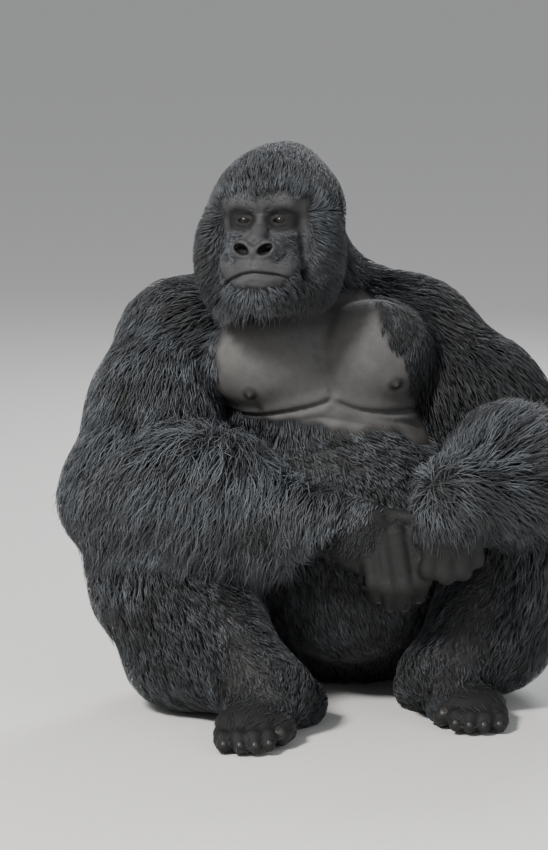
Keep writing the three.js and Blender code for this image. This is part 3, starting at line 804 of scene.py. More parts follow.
def region_shares(p):
    # How much each region of the body owns each point, from how near its forms are.
    every = chest_forms + pectoral_forms + belly_forms + neck_forms + cranium_forms + beard_forms
    every = every + face_forms + cheek_forms + lip_forms + brow_forms + nose_forms + ear_forms
    for side in SIDES:
        every = every + upper_arm(side) + forearm[side] + hand[side] + leg(side) + foot(side)
        every = every + [form for forms in finger_forms[side] + toe_forms[side] for form in forms]
    gaps = {name: np.full(len(p), 120.0) for name in REGIONS}
    for form in every:
        close = form.near(p, 60)
        gaps[form.region][close] = np.minimum(gaps[form.region][close], form.field(p[close], 0))
    shares = {name: np.exp(-np.maximum(gap, -4) / REGION_BLEND) for name, gap in gaps.items()}
    total = sum(shares.values()) + 1e-12
    return {name: share / total for name, share in shares.items()}


def face_bare(p):
    # 1 on the bare face, 0 on the haired head: an uneven oval, with the hairline over the brow.
    x, y, z = in_head(p).T
    wave = 3 * np.sin(x * 0.16) + 2 * np.sin(x * 0.37 + z * 0.2)
    side = 80 - 0.10 * np.abs(z + 45) - smoothstep(-60, -120, z) * 26 + smoothstep(5, 30, z) * 6
    top = 37 + 13 * np.exp(-(((np.abs(x) - 35) / 20) ** 2)) + wave
    low = -116 + smoothstep(30, 70, np.abs(x)) * 14
    inside = smoothstep(7, -7, np.abs(x) + wave - side) * smoothstep(11, -9, z - top)
    return inside * smoothstep(-6, 6, z - low + wave) * smoothstep(74, 56, y)


# The bare breast's right and left edges as pairs of z and x, and its low edge as pairs of x and z.
BREAST_RIGHT = ((522, -183), (545, -197), (603, -202), (648, -199), (680, -190))
BREAST_LEFT = ((474, 184), (491, 181), (527, 168), (563, 160), (597, 153), (632, 140), (654, 112), (688, 96))
BREAST_LEFT += ((719, 88), (745, 70))
BREAST_LOW = ((-190, 532), (-86, 527), (-32, 517), (31, 508), (86, 502), (131, 492), (178, 474))


def along_edge(value, edge):
    return np.interp(value, *zip(*edge))


def chest_bare(p):
    # 1 on the bare breast, 0 where the coat starts at the shoulders, neck and belly.
    x, y, z = p.T
    wave = 5 * np.sin(x * 0.045) + 3 * np.sin(x * 0.13 + 1) + 3 * np.sin(z * 0.11)
    right = along_edge(z, BREAST_RIGHT)
    left = along_edge(z, BREAST_LEFT)
    low = along_edge(x, BREAST_LOW)
    inside = smoothstep(-10, 10, x - right + wave) * smoothstep(10, -10, x - left + 0.6 * wave)
    inside = inside * smoothstep(-9, 9, z - low + wave) * smoothstep(16, -16, z - 745)
    return inside * smoothstep(20, -50, y)


SHIN_EDGE = {"right": 190, "left": 288}  # how far out the bare shins reach from the middle


def shin_bare(p, shares):
    # 0 to 1: how thin the coat is on the inner shins.
    total = 0
    for side in SIDES:
        k, a = KNEE[side], ANKLE[side]
        along = (p - k) @ (a - k) / ((a - k) @ (a - k))
        facing = smoothstep(40, -40, p[:, 1] - (k + (a - k) * np.clip(along, 0, 1)[:, None])[:, 1] + 20)
        inner = smoothstep(-30, 10, SHIN_EDGE[side] - OUTWARD[side] * p[:, 0])
        leg_share = shares["shin_" + side] + shares["thigh_" + side]
        total = total + leg_share * smoothstep(-0.1, 0.1, along) * facing * inner
    return np.clip(total, 0, 1)


def kinds(p):
    # Shares of bare face, breast, paw and thin-haired skin at each point.
    shares = region_shares(p)
    face = face_bare(p) * np.clip(shares["face"] + shares["head"] + shares["ear"] + 0.15, 0, 1)
    arms = sum(shares["upper_arm_" + s] + shares["forearm_" + s] for s in SIDES)
    breast = chest_bare(p) * (1 - np.clip(arms, 0, 1))
    x, z = p[:, 0], p[:, 2]
    right_fingers = np.clip(smoothstep(64, 92, x) + smoothstep(322, 300, z), 0, 1)
    paw = shares["hand_right"] * right_fingers + shares["hand_left"] * smoothstep(372, 346, z)
    for side in SIDES:
        along = unit(SOLE[side] - HEEL[side])
        paw = paw + shares["foot_" + side] * smoothstep(112, 150, (p - HEEL[side]) @ along)
    return shares, face, breast * (1 - face), np.clip(paw, 0, 1), shin_bare(p, shares)


shares, face_share, breast_share, paw_share, shin_share = kinds(skin_points)


def paint(obj, name, columns):
    # Stores up to four numbers per point as one colour attribute.
    layer = obj.data.color_attributes.new(name, "FLOAT_COLOR", "POINT")
    full = np.ones((len(obj.data.vertices), 4), dtype=np.float32)
    for i, column in enumerate(columns):
        full[:, i] = column
    layer.data.foreach_set("color", full.ravel())


# Painted shade in the eye sockets and in the nostrils, dark skin on the nipples, and moist skin on the
# muzzle.
spot = in_head(skin_points)
eye_gap = np.minimum(*[np.linalg.norm((spot - (x, -8, 0)) / (36, 34, 21), axis=-1) for x in (-36, 36)])
nostril_gap = np.minimum(*[form.field(skin_points, 0) for form in nostril_forms])
nipple_gap = np.minimum(*[np.linalg.norm(skin_points - nipple, axis=-1) for nipple in nipples])
socket_shade = smoothstep(1.25, 0.7, eye_gap) * smoothstep(22, 15, spot[:, 2])
dark = np.maximum(socket_shade, smoothstep(1.5, -1.0, nostril_gap)) * face_share
dark = np.maximum(dark, smoothstep(20, 9, nipple_gap) * 0.8)
wet = face_share * smoothstep(-24, -36, spot[:, 2])
paint(skin, "kind", (face_share, breast_share, paw_share))
paint(skin, "mark", (dark, wet))
haired = 1 - np.clip(face_share + breast_share + paw_share, 0, 1)
paint(skin, "cover", (shin_share, np.clip(shares["belly"] * haired, 0, 1)))


# ------------------------------------------------------------------ the coat

DOWN = vec(0, 0, -1)


def toward(a, b):
    return unit(vec(*b) - vec(*a))


def columns(*parts):
    # One row for each point, from arrays and plain numbers.
    return np.stack(np.broadcast_arrays(*parts), 1)


def lie(p, shares):
    # The way the hair runs at each point; it isn't laid along the skin yet.
    x, y, z = in_head(p).T
    crown = smoothstep(-20, 40, z)
    front = (smoothstep(30, -10, y) * smoothstep(-90, -120, z))[:, None]
    head_flow = columns(0.003 * x, 0.9 - 0.45 * crown, 0.95 * crown - 1.25 * (1 - crown))
    head_flow = head_flow * (1 - front) + columns(0.006 * x, -0.1, -1.0) * front
    face_flow = columns((0.9 - 0.7 * crown) * np.tanh(x / 25), 0.35, -0.65 + 1.6 * smoothstep(0, 30, z))
    flow = {
        "head": head_flow @ HEAD.T,
        "face": face_flow @ HEAD.T,
        "ear": head_flow @ HEAD.T,
        "beard": columns(0.004 * x, -0.12, -1.0) @ HEAD.T,
        "neck": columns(0.0018 * (p[:, 0] + 60), 0.35, -1.0),
        "yoke": columns(0.004 * (p[:, 0] + 30), 0.25, -0.75),
        "back": columns(0.0012 * (p[:, 0] - 10), 0.1, -1.0),
        "chest": DOWN + vec(0.1, 0, 0),
        "belly": columns(0.4 + 0.5 * smoothstep(400, 500, p[:, 2]), 0.0, -1.0),
        "rump": DOWN,
    }
    for side in SIDES:
        flow["upper_arm_" + side] = toward(SHOULDER[side], ELBOW[side]) * 0.9 + DOWN * 0.45 + vec(0, 0.12, 0)
        flow["hand_" + side] = toward(WRIST[side], ELBOW[side]) * 0.25 + DOWN * 0.8
        flow["thigh_" + side] = toward(HIP[side], KNEE[side]) * 0.35 + DOWN * 0.9
        flow["shin_" + side] = toward(KNEE[side], ANKLE[side]) * 0.7 + DOWN * 0.5
        flow["foot_" + side] = toward(HEEL[side], SOLE[side]) + DOWN * 0.1
    along_arm = smoothstep(-60, -330, p[:, 0])[:, None]
    fan = np.clip((p[:, 2] - 452) / 70, -1, 1)[:, None]
    flow["forearm_right"] = toward(WRIST["right"], ELBOW["right"]) * (0.05 + 0.4 * along_arm) + DOWN
    flow["forearm_left"] = toward(WRIST["left"], ELBOW["left"]) * 0.95 - DOWN * 0.7 * fan + DOWN * 0.15
    total = 0
    for name, share in shares.items():
        total = total + share[:, None] * flow[name]
    return unit(total)


traits = sum(shares[name][:, None] * np.array(COATS[name])[None] for name in REGIONS)
dense = 1 / sum(shares[name] * COATS[name].gap for name in REGIONS) ** 2
bare = np.clip(face_share + breast_share, 0, 1)
dense = dense * np.clip(1 - 1.35 * bare, 0, 1) ** 1.3
dense = dense * (1 - 0.95 * smoothstep(0.3, 0.8, paw_share)) * (1 - 0.5 * shin_share)
x, y, z = spot.T
cheek = smoothstep(26, 42, np.abs(x)) * smoothstep(-14, -24, z) * smoothstep(-84, -56, z)
brow = smoothstep(24, 38, z) * (1 + 1.5 * np.exp(-((x / 16) ** 2)))
dense = dense + face_share * (1 - dark) * (cheek * 0.13 + brow * 0.03)
dense[skin_points[:, 2] < 5] = 0


def scatter(obj, density, seed):
    # Random roots, spread evenly over the skin for their density: each one's triangle and its three weights.
    obj.data.calc_loop_triangles()
    tri = np.empty(len(obj.data.loop_triangles) * 3, dtype=np.int32)
    obj.data.loop_triangles.foreach_get("vertices", tri)
    tri = tri.reshape(-1, 3)
    p = points_of(obj)
    a, b, c = p[tri[:, 0]], p[tri[:, 1]], p[tri[:, 2]]
    area = np.linalg.norm(np.cross(b - a, c - a), axis=-1) / 2
    weight = area * density[tri].mean(1)
    block = 12  # mm: triangles that lie together are counted together, which keeps the spacing even
    order = np.lexsort((a[:, 1] // block, a[:, 0] // block, a[:, 2] // block))
    steps = np.cumsum(weight[order])
    count = int(steps[-1])
    rng = np.random.default_rng(seed)
    picks = order[np.searchsorted(steps, np.arange(count) + rng.random(count))]
    r1, r2 = np.sqrt(rng.random(count)), rng.random(count)
    mix = np.stack([1 - r1, r1 * (1 - r2), r1 * r2], 1)
    return tri[picks], mix


def blend_of(values, tri, mix):
    part = values[tri]
    return (part * (mix[..., None] if part.ndim == 3 else mix)).sum(1)


def grow(roots, n, flow, length, hang, wave, rng, joints):
    # Lays locks over the body between the skin and the coat's outline; returns joints along each lock.
    count = len(roots)
    p = roots - n * 1.2
    line = [p]
    side = unit(np.cross(n, flow))
    curl = rng.normal(0, 1, count)
    stand = 1 - 0.5 * rng.random(count) ** 2
    stray = 8 * rng.random(count) ** 3
    fractions = np.linspace(0, 1, joints + 1)
    for last, t in zip(fractions, fractions[1:]):
        step = (length * (t - last))[:, None]
        along = flow - n * ((flow * n).sum(-1) * (1 - hang))[:, None]
        rise = 0.35 * (1 - t)
        bend = curl * wave * math.sin(2.2 * math.pi * t + 0.6)
        d = unit(unit(along) + n * rise + side * bend[:, None] * 2.2)
        p = p + d * step
        f = skin_grid.at(p)
        n_new = skin_grid.slope(p)
        room = np.maximum(f - outline_grid.at(p), 1.0)
        want = room * stand * (1 - (1 - t) ** 2.6) * (1 - 0.1 * t * t)
        gap = want - f
        p = p + n_new * np.where(gap > 0, gap, gap * (1 - hang) * 0.8)[:, None]
        over = np.maximum(outline_grid.at(p) - 1.5 - stray * t, 0)
        p = p - n_new * over[:, None]
        p[:, 2] = np.maximum(p[:, 2], 1.5)
        n = unit(n * 0.3 + n_new * 0.7)
        line.append(p)
    return np.stack(line, 1)


TUFT_LOCKS = 16  # how many locks a tuft has on average


def gather(line, share, rng):
    # Draws the tips of neighbouring locks together, as hair does.
    count = len(line)
    guides = np.sort(rng.permutation(count)[: max(1, count // TUFT_LOCKS)])
    middle = line[:, 1]
    nearest = np.empty(count, dtype=int)
    for start in range(0, count, 2000):
        part = middle[start : start + 2000]
        far = ((part[:, None, :] - middle[guides][None]) ** 2).sum(-1)
        nearest[start : start + 2000] = guides[far.argmin(1)]
    t = np.linspace(0, 1, line.shape[1])[None, :, None]
    pull = share * rng.uniform(0.4, 1.0, count)[:, None, None] * t**1.4
    return line + (line[nearest] - line) * pull, nearest


LOCK_SHAPE = {2: (0.8, 1.0), 3: (0.75, 1.0, 0.66)}  # share of the full width at each ring, from the root
BAKE_PATCH = 0.003  # size of a lock's place in the baked picture
TONE_TOP = 1.6  # the tone that the lock attribute stores as 1


def locks_mesh(name, line, width, tone, patch, rng):
    # Each lock is a closed, three-sided, flattened spindle along its line.
    count, rows, _ = line.shape
    rings = rows - 1
    after = np.concatenate([line[:, 1:], line[:, -1:]], 1)
    ahead = unit(after - np.concatenate([line[:, :1], line[:, :-1]], 1))
    normal = skin_grid.slope(line[:, 0])[:, None, :].repeat(rows, 1)
    side = unit(np.cross(ahead, normal))
    twist = rng.uniform(-0.5, 0.5, count)[:, None, None]
    up = unit(np.cross(side, ahead))
    side = unit(side + up * twist)
    up = np.cross(side, ahead)
    half = width[:, None] * 0.5 * np.array(LOCK_SHAPE[rings])[None]
    points = []
    for u, h in ((-1.0, 0.0), (0.0, 0.62), (1.0, 0.0)):
        shift = side[:, :rings] * (u * half)[..., None] + up[:, :rings] * (h * half)[..., None]
        points.append(line[:, :rings] + shift)
    ring_points = np.stack(points, 2).reshape(count, rings * 3, 3)
    every = np.concatenate([ring_points, line[:, -1:]], 1)
    per = rings * 3 + 1
    faces = [(0, 1, 2)]
    for r in range(rings - 1):
        for s in range(3):
            a, b = r * 3 + s, r * 3 + (s + 1) % 3
            faces += [(a, a + 3, b + 3), (a, b + 3, b)]
    top = (rings - 1) * 3
    faces += [(top + s, per - 1, top + (s + 1) % 3) for s in range(3)]
    all_faces = (np.arange(count) * per)[:, None, None] + np.array(faces)[None]
    obj = mesh_object(name, metres(every.reshape(-1, 3)), all_faces.reshape(-1, 3))
    along = np.concatenate([np.repeat(np.linspace(0, 1, rows)[:-1], 3), [1.0]])
    across = np.concatenate([np.tile([0.0, 0.5, 1.0], rings), [0.5]])
    paint(obj, "lock", (np.tile(along, count), tone.repeat(per), rng.random(count).repeat(per)))
    corner = all_faces.reshape(-1)
    within = corner % per
    owner = corner // per
    bake = obj.data.uv_layers.new(name="OFBake")
    spot = patch[owner] + BAKE_PATCH * (np.stack([across, along], 1)[within] - 0.5)
    bake.data.foreach_set("uv", spot.astype(np.float32).ravel())
    strand = obj.data.uv_layers.new(name="Strand")
    uv = np.stack([across[within] + owner * 0.37, along[within]], 1)
    strand.data.foreach_set("uv", uv.astype(np.float32).ravel())
    return obj


# Each coat piece lies round an axis of the body, and its unwrap runs round that axis and along it.
# The numbers are the joints of its locks and how far their tips are drawn into tufts.
HEAD_AXIS = (on_head(0, 80, -160), on_head(0, 80, 160))
PIECES = {
    **{f"coat_{part}_{side}": (HEAD_AXIS, 2, 0.15) for part in ("face", "crown") for side in SIDES},
    "coat_neck": ((vec(-60, 60, 560), vec(-60, 60, 900)), 3, 0.45),
    "coat_back": ((vec(10, 60, 20), vec(10, 60, 760)), 3, 0.45),
    "coat_belly": ((vec(30, 0, 60), vec(30, 0, 620)), 2, 0.4),
    "coat_upper_arm_right": ((SHOULDER["right"] + (0, 0, 120), ELBOW["right"] - (0, 0, 90)), 3, 0.38),
    "coat_forearm_right": ((ELBOW["right"] + (-80, 0, 0), WRIST["right"] + (90, 0, 0)), 3, 0.42),
    "coat_upper_arm_left": ((SHOULDER["left"] + (0, 0, 120), ELBOW["left"] - (0, 0, 90)), 3, 0.35),
    "coat_forearm_left": ((ELBOW["left"] + (90, 0, 0), WRIST["left"] - (90, 0, 0)), 3, 0.42),
    "coat_thigh_right": ((HIP["right"], KNEE["right"]), 2, 0.5),
    "coat_thigh_left": ((HIP["left"], KNEE["left"]), 2, 0.5),
    "coat_shin_right": ((KNEE["right"] + (0, 0, 60), SOLE["right"]), 2, 0.4),
    "coat_shin_left": ((KNEE["left"] + (0, 0, 60), SOLE["left"]), 2, 0.4),
}
PIECE_FACES = 198000  # the most faces of a coat piece
TRUNK_PIECES = {
    "neck": "coat_neck",
    "yoke": "coat_neck",
    "back": "coat_back",
    "rump": "coat_back",
    "belly": "coat_belly",
    "chest": "coat_belly",
}


def piece_of(p, owner):
    # The coat piece of each root, from the region that owns it; the head's halves meet along an uneven line.
    names = []
    for region, (x, y, z) in zip(owner, in_head(p)):
        name = REGIONS[region]
        x += 7 * math.sin(0.33 * z) + 4 * math.sin(1.1 * z)
        if name in ("head", "face", "ear", "beard"):
            names.append(("coat_face_" if y < 70 else "coat_crown_") + ("right" if x < 0 else "left"))
        elif name in TRUNK_PIECES:
            names.append(TRUNK_PIECES[name])
        else:
            names.append("coat_" + name.replace("hand", "forearm").replace("foot", "shin"))
    return np.array(names)


def unwrap(p, axis):
    a, b = axis
    along = (p - a) @ (b - a) / ((b - a) @ (b - a))
    z = unit(b - a)
    x = unit(np.cross(z, (0.3, 1.0, 0.2)))
    y = np.cross(z, x)
    angle = np.arctan2((p - a) @ y, (p - a) @ x) / (2 * math.pi)
    return np.stack([0.01 + 0.98 * (angle % 1.0), 0.01 + 0.98 * np.clip(along, 0, 1)], 1)


tri, mix = scatter(skin, dense, SEED)
roots = blend_of(skin_points, tri, mix)
root_normals = unit(blend_of(skin_normals, tri, mix))
root_shares = {name: blend_of(shares[name], tri, mix) for name in REGIONS}
owner = np.stack([root_shares[name] for name in REGIONS], 1).argmax(1)
pieces_at = piece_of(roots, owner)
root_traits = blend_of(traits, tri, mix)
root_bare = blend_of(bare, tri, mix)
root_shin = blend_of(shin_share, tri, mix)

# Light and shade painted into the coat's tone: a painted highlight on a fringe along the right wrist with
# painted shade under it, a painted highlight on the left wrist's whorl, a paler upper belly, a beard lit at
# its right corner and shaded at its left, and painted shade that makes the left shoulder near-black.
WRIST_EDGE = ((-60, 300), (-7, 337), (36, 358), (95, 388))
WHORL = vec(179, -386, 452)
x, y, z = roots.T
fringe_height = z - along_edge(x, WRIST_EDGE)
near_wrist = (root_shares["forearm_right"] + root_shares["hand_right"]) * smoothstep(-75, -35, x)
under_fringe_shade = near_wrist * smoothstep(6, -6, fringe_height)
on_fringe = near_wrist * np.exp(-(((fringe_height - 24) / 18) ** 2))
whorl_gap = np.linalg.norm(roots - WHORL, axis=-1)
on_whorl = root_shares["forearm_left"] * np.exp(-((whorl_gap / 60) ** 2))
high_belly = (root_shares["belly"] + root_shares["chest"]) * smoothstep(370, 460, z + 0.3 * x)
beard_side_light_shade = root_shares["beard"] * (1.4 * smoothstep(30, -30, in_head(roots)[:, 0]) - 0.7)
left_side_shade = smoothstep(40, 150, x) * smoothstep(470, 560, z)
# Painted highlights on the wrist's fringe and whorl and on the beard's right corner, painted shade on its
# left corner, under the fringe and over the left shoulder, and a paler upper belly.
pale = 1 + 1.6 * on_fringe + 1.5 * on_whorl + 1.4 * high_belly + 0.5 * beard_side_light_shade
root_shade = (1 - 0.8 * under_fringe_shade) * pale * (1 - 0.6 * left_side_shade)
root_long = 1 - near_wrist * (1 - np.clip((fringe_height + 16) / 90, 0.3, 1))
under_lip = root_shares["beard"] * smoothstep(-156, -116, in_head(roots)[:, 2])
root_long = root_long * (1 - 0.6 * under_lip)
root_flow = lie(roots, root_shares)

coats = {}
for index, (name, (axis, joints, clump)) in enumerate(PIECES.items()):
    rng = np.random.default_rng(SEED + 7 * index)
    mine = np.flatnonzero(pieces_at == name)
    most = PIECE_FACES // (6 * joints - 2)
    if len(mine) > most:
        mine = np.sort(rng.permutation(mine)[:most])
    count = len(mine)
    length, width, _, hang, wave, tone = root_traits[mine].T
    length = length * rng.uniform(0.6, 1.15, count) * (1 - 0.45 * root_bare[mine])
    length = length * (1 - 0.5 * root_shin[mine]) * root_long[mine]
    width = width * rng.uniform(0.7, 1.25, count)
    swirl = rng.normal(0, 0.13, (count, 3)) * (1 + 4 * wave + 3 * on_whorl[mine])[:, None]
    flow = unit(root_flow[mine] + swirl)
    line = grow(roots[mine], root_normals[mine], flow, length, hang, wave, rng, joints)
    line, tuft = gather(line, clump, rng)
    tuft_shade = 1 + 0.34 * rng.normal(0, 1, count)[tuft]
    shade = tone * root_shade[mine] * tuft_shade + rng.normal(0, 0.11, count)
    shade = np.clip(shade / TONE_TOP, 0, 1)
    coats[name] = locks_mesh(name, line, width, shade, unwrap(roots[mine], axis), rng)


# ------------------------------------------------------------------ eyes and nails


def eyeball(side):
    rows, spokes = 36, 48
    centre = on_head(*EYES[side])
    gaze = unit(HEAD @ vec(0.05, -1, 0.02) + vec(0.06, -0.04, 0.02))
    x = unit(np.cross((0, 0, 1), gaze))
    z = np.cross(gaze, x)
    points, faces = [centre + gaze * (EYE_RADIUS + CORNEA)], []
    for i in range(1, rows):
        angle = math.pi * i / rows
        bulge = CORNEA * math.exp(-((angle / 0.5) ** 4))
        for j in range(spokes):
            around = 2 * math.pi * j / spokes
            out = x * math.cos(around) + z * math.sin(around)
            points.append(centre + (EYE_RADIUS + bulge) * (gaze * math.cos(angle) + out * math.sin(angle)))
    points.append(centre - gaze * EYE_RADIUS)
    for j in range(spokes):
        k = (j + 1) % spokes
        faces.append((0, 1 + j, 1 + k))
        last = 1 + (rows - 2) * spokes
        faces.append((last + k, last + j, len(points) - 1))
        for i in range(rows - 2):
            a, b = 1 + i * spokes + j, 1 + i * spokes + k
            faces += [(a, a + spokes, b + spokes), (a, b + spokes, b)]
    points = np.array(points)
    obj = mesh_object("eyeball_" + side, metres(points), np.array(faces))
    paint(obj, "gaze", (np.clip((unit(points - centre) @ gaze), 0, 1),))
    return obj


NAIL_STEPS = 7


def nail_faces(first):
    # A closed plate between two square grids of points, the top one first, with a rim that joins their edges.
    last, block = NAIL_STEPS - 1, NAIL_STEPS**2
    faces = []
    for i in range(last):
        for k in range(last):
            a = first + i * NAIL_STEPS + k
            b = a + block
            faces.append((a, a + 1, a + NAIL_STEPS + 1, a + NAIL_STEPS))
            faces.append((b, b + NAIL_STEPS, b + NAIL_STEPS + 1, b + 1))
    rim = [(0, k) for k in range(last + 1)] + [(i, last) for i in range(1, last + 1)]
    rim += [(last, k) for k in range(last - 1, -1, -1)] + [(i, 0) for i in range(last - 1, 0, -1)]
    edge = [first + i * NAIL_STEPS + k for i, k in rim]
    return faces + [(a, a + block, b + block, b) for a, b in zip(edge, edge[1:] + edge[:1])]


def nails():
    # Each nail is a curved plate, laid onto the skin from over the end of its finger or toe.
    plates = [(*finger, 5.2, vec(0, -1, 0)) for finger in FINGERS["right"]]
    plates.append((*FINGERS["left"][0], 5.0, vec(0, -1, 0.2)))
    for side in SIDES:
        plates += [(j, r, 4.6 if r[0] < 20 else 8.0, vec(0, -0.25, 1)) for j, r in toes(side)]
    laid, ups, lifts, faces = [], [], [], []
    steps = [-1 + 2 * i / (NAIL_STEPS - 1) for i in range(NAIL_STEPS)]
    for joints, radii, half, out in plates:
        along = toward(joints[1], joints[2])
        up = unit(out - along * (out @ along))
        across = np.cross(along, up)
        centre = vec(*joints[2]) + along * radii[2] * 0.3 + up * (radii[2] + 3)
        faces += nail_faces(len(laid))
        for layer in (1.0, -0.6):
            for u in steps:
                for v in steps:
                    spot = centre + along * (u * half * 1.2 * math.sqrt(1 - 0.35 * v * v))
                    laid.append(spot + across * (v * half * (1 - 0.12 * u * u)))
                    ups.append(up)
                    lifts.append(layer * (0.9 - 0.5 * max(abs(u), abs(v)) ** 4))
    laid, ups, lifts = np.array(laid), np.array(ups), np.array(lifts)
    for _ in range(5):
        laid = laid - ups * np.clip(skin_field(laid), -4, 8)[:, None]
    return mesh_object("nails", metres(laid + ups * lifts[:, None]), np.array(faces))


eyes = [eyeball(side) for side in SIDES]
nail_plates = nails()
set_points(skin, metres(skin_points))


# ------------------------------------------------------------------ materials


class Look:
    # A material being built up from nodes.
    def __init__(self, name, **sockets):
        self.material = bpy.data.materials.new(name)
        self.material.use_nodes = True
        self.nodes = self.material.node_tree.nodes
        self.shader = self.nodes["Principled BSDF"]
        for socket, value in sockets.items():
            self.shader.inputs[socket.replace("_", " ")].default_value = value

    def join(self, source, target):
        self.material.node_tree.links.new(source, target)

    def drive(self, name, source):
        self.join(source, self.shader.inputs[name])

    def place(self):
        return self.add("ShaderNodeTexCoord").outputs["Object"]

    def add(self, kind, inputs=None, **settings):
        node = self.nodes.new(kind)
        for key, value in settings.items():
            setattr(node, key, value)
        for key, value in (inputs or {}).items():
            if isinstance(value, bpy.types.NodeSocket):
                self.join(value, node.inputs[key])
            else:
                node.inputs[key].default_value = value
        return node

    def attribute(self, name):
        node = self.add("ShaderNodeAttribute", attribute_name=name)
        split = self.add("ShaderNodeSeparateColor", {"Color": node.outputs["Color"]})
        return split.outputs

    def math(self, operation, a, b=0.0, clamp=False):
        return self.add("ShaderNodeMath", {0: a, 1: b}, operation=operation, use_clamp=clamp).outputs[0]

    def ramp(self, value, low, high, start=0.0, end=1.0):
        inputs = {"Value": value, "From Min": low, "From Max": high, "To Min": start, "To Max": end}
        return self.add("ShaderNodeMapRange", inputs, clamp=True).outputs[0]

    def mix(self, share, a, b):
        # Inputs 0, 6 and 7 of a mix node are its share and its two colours, and output 2 is what it gives.
        a, b = (c if isinstance(c, bpy.types.NodeSocket) else (*c, 1) for c in (a, b))
        return self.add("ShaderNodeMix", {0: share, 6: a, 7: b}, data_type="RGBA").outputs[2]

    def stretched(self, coordinates, scale):
        return self.add("ShaderNodeMapping", {"Vector": coordinates, "Scale": scale}).outputs[0]

    def noise(self, coordinates, scale, detail=3.0, roughness=0.5):
        inputs = {"Vector": coordinates, "Scale": scale, "Detail": detail, "Roughness": roughness}
        return self.add("ShaderNodeTexNoise", inputs).outputs["Fac"]

    def cells(self, coordinates, scale):
        inputs = {"Vector": coordinates, "Scale": scale}
        return self.add("ShaderNodeTexVoronoi", inputs, feature="DISTANCE_TO_EDGE").outputs["Distance"]

    def bump(self, height, strength, distance):
        inputs = {"Height": height, "Strength": strength, "Distance": distance}
        self.drive("Normal", self.add("ShaderNodeBump", inputs).outputs[0])


def coat_look():
    look = Look("coat", Specular_IOR_Level=0.35, Sheen_Weight=0.06, Sheen_Roughness=0.4)
    along, tone, chance = look.attribute("lock")[0:3]
    strand = look.add("ShaderNodeUVMap", uv_map="Strand").outputs[0]
    fine = look.noise(look.stretched(strand, (14, 1.2, 1)), 1.0, 2.0, 0.6)
    patch = look.noise(look.place(), 9.0)
    # Painted sheen: each lock lightens from its near-black root to a blue-grey tip that stands in for light
    # caught on the hair.
    root = look.mix(tone, (0.0045, 0.005, 0.0058), (0.062, 0.068, 0.076))
    tip = look.mix(tone, (0.008, 0.0088, 0.010), (0.205, 0.225, 0.250))
    worn = look.mix(look.ramp(patch, 0.45, 0.75, 0, 0.55), tip, (0.075, 0.066, 0.052))
    reach = look.math("MULTIPLY", look.ramp(along, 0.1, 1.0), look.ramp(chance, 0.0, 1.0, 0.35, 1.15))
    reach = look.math("MULTIPLY", reach, look.ramp(fine, 0.3, 0.7, 0.65, 1.1), True)
    look.drive("Base Color", look.mix(reach, root, worn))
    look.drive("Roughness", look.ramp(fine, 0.3, 0.7, 0.48, 0.66))
    look.bump(fine, 0.5, 0.0006)
    return look.material


def skin_look():
    look = Look("skin", Specular_IOR_Level=0.32)
    face, breast, paw = look.attribute("kind")[0:3]
    shin, belly = look.attribute("cover")[0:2]
    dark, wet = look.attribute("mark")[0:2]
    where = look.place()
    blotch = look.noise(where, 14.0, 4.0)
    fine = look.noise(where, 160.0, 3.0)
    mottle = look.noise(where, 60.0, 4.0, 0.6)
    pores = look.cells(where, 520.0)
    creases = look.cells(look.stretched(where, (1, 1, 2.2)), 210.0)
    base = look.mix(blotch, (0.010, 0.0105, 0.0115), (0.018, 0.018, 0.019))
    chest = look.mix(blotch, (0.070, 0.068, 0.067), (0.125, 0.119, 0.115))
    chest = look.mix(look.ramp(mottle, 0.35, 0.7, 0, 0.35), chest, (0.05, 0.047, 0.046))
    muzzle = look.mix(mottle, (0.023, 0.023, 0.024), (0.060, 0.060, 0.063))
    palm = look.mix(mottle, (0.0045, 0.0045, 0.0046), (0.0125, 0.012, 0.0118))
    shins = look.mix(mottle, (0.020, 0.019, 0.0185), (0.036, 0.0345, 0.033))
    under = look.mix(belly, base, (0.030, 0.028, 0.024))
    colour = look.mix(shin, under, shins)
    colour = look.mix(breast, colour, chest)
    colour = look.mix(paw, colour, palm)
    colour = look.mix(face, colour, muzzle)
    # Painted shade: the dark mask turns the eye sockets and nostrils near black; on the nipples it is their
    # own dark skin.
    colour = look.mix(look.math("MULTIPLY", dark, 0.92), colour, (0.0014, 0.0014, 0.0016))
    look.drive("Base Color", colour)
    rough = look.ramp(mottle, 0.3, 0.7, 0.55, 0.72)
    gloss = look.ramp(wet, 0.0, 1.0, 0.0, 0.12)
    look.drive("Roughness", look.math("SUBTRACT", rough, gloss))
    wrinkle = look.ramp(creases, 0.0, 0.12)
    height = look.math("ADD", look.math("MULTIPLY", wrinkle, 0.6), look.math("MULTIPLY", pores, 0.5))
    height = look.math("ADD", height, look.math("MULTIPLY", fine, 0.7))
    look.bump(height, 0.5, 0.0014)
    return look.material


def eye_look():
    look = Look("eye", Roughness=0.34, Coat_Weight=0.1, Coat_Roughness=0.04, Specular_IOR_Level=0.35)
    gaze = look.attribute("gaze")[0]
    where = look.place()
    fleck = look.noise(where, 900.0, 3.0)
    iris = look.mix(fleck, (0.006, 0.0035, 0.002), (0.017, 0.009, 0.005))
    rim = look.mix(fleck, (0.004, 0.003, 0.0025), (0.010, 0.007, 0.006))
    colour = look.mix(look.ramp(gaze, 0.855, 0.885), rim, iris)
    colour = look.mix(look.ramp(gaze, 0.965, 0.972), colour, (0.002, 0.002, 0.002))
    look.drive("Base Color", colour)
    return look.material


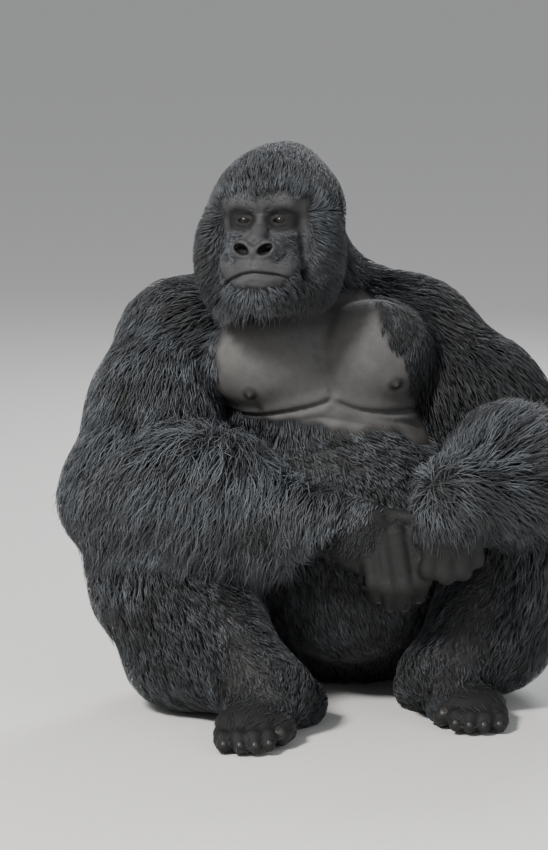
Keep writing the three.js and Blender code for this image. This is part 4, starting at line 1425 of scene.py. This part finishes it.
def nail_look():
    look = Look("nail", Specular_IOR_Level=0.5)
    where = look.place()
    ridge = look.noise(where, 300.0, 3.0)
    look.drive("Base Color", look.mix(ridge, (0.010, 0.0092, 0.0088), (0.026, 0.023, 0.021)))
    look.drive("Roughness", look.ramp(ridge, 0.3, 0.7, 0.42, 0.56))
    look.bump(ridge, 0.3, 0.0004)
    return look.material


def floor_look():
    look = Look("floor", Roughness=0.75)
    where = look.place()
    grain = look.noise(where, 40.0, 4.0)
    look.drive("Base Color", look.mix(grain, (0.66, 0.65, 0.63), (0.71, 0.70, 0.68)))
    return look.material


def dress(objects, material):
    for obj in objects:
        obj.data.materials.append(material)


dress(coats.values(), coat_look())
dress([skin], skin_look())
dress(eyes, eye_look())
dress([nail_plates], nail_look())

# ------------------------------------------------------------------ floor, light and camera

FLOOR_CORNERS = [(-60, -60, 0), (60, -60, 0), (60, 60, 0), (-60, 60, 0)]
floor = mesh_object("floor", FLOOR_CORNERS, [(0, 1, 2, 3)])
dress([floor], floor_look())
floor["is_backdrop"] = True


def aim(obj, target):
    away = np.array(obj.location) - np.array(target)
    yaw = math.atan2(away[1], away[0]) + math.pi / 2
    tilt = math.atan2(math.hypot(away[0], away[1]), away[2])
    obj.rotation_euler = (tilt, 0, yaw)


def area_light(name, location, target, size, power, colour):
    data = bpy.data.lights.new(name, "AREA")
    data.shape = "DISK"
    data.size = size
    data.energy = power
    data.color = colour
    obj = bpy.data.objects.new(name, data)
    obj.location = location
    aim(obj, target)
    bpy.context.scene.collection.objects.link(obj)


area_light("key", (-2.3, -3.1, 3.7), (0, -0.1, 0.6), 1.1, 380, (1.0, 0.985, 0.96))
area_light("fill", (3.2, -3.4, 1.8), (0, 0, 0.5), 3.0, 46, (0.93, 0.96, 1.0))
area_light("rim", (1.2, 3.2, 3.0), (0, 0, 0.7), 1.6, 125, (0.95, 0.97, 1.0))

world = bpy.data.worlds.new("studio")
world.use_nodes = True
sky = world.node_tree.nodes["Background"].inputs
sky["Color"].default_value = (0.86, 0.88, 0.91, 1)
sky["Strength"].default_value = 0.5
bpy.context.scene.world = world

# The lens stands 6.5 m from the breast, where a point of the 850 point high picture is 1.85 mm.
DISTANCE, POINT_SIZE, PICTURE_HEIGHT = 6500, 1.85, 850
lens = bpy.data.cameras.new("camera")
lens.sensor_width = 36
lens.lens = lens.sensor_width * (DISTANCE / POINT_SIZE) / PICTURE_HEIGHT
lens.clip_end = 60
camera = bpy.data.objects.new("camera", lens)
camera.location = metres(vec(-97, -6420, 1504.8))
camera.rotation_euler = (math.radians(81), 0, 0)
bpy.context.scene.collection.objects.link(camera)
bpy.context.scene.camera = camera

# ------------------------------------------------------------------ what stands for what

LIMB_PARTS = ("ear", "upper_arm", "forearm", "hand", "thigh", "shin", "foot")
DIGIT_PARTS = ("thumb", "index", "middle", "ring", "little", "hallux", "toe_2", "toe_3", "toe_4", "toe_5")
FLESH = ["face", "head", "neck", "chest", "belly"]
FLESH += [part + "_" + side for side in SIDES for part in LIMB_PARTS + DIGIT_PARTS]
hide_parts(*FLESH)
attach(skin, "root")
for obj in coats.values():
    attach(obj, "root")
for side, obj in zip(SIDES, eyes):
    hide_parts("eye_" + side)
    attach(obj, "root")
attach(nail_plates, "root")

now_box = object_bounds()
boxes = {"cad": cad_box, "visual": now_box}
{name: [[float(v) for v in corner] for corner in box] for name, box in boxes.items()}
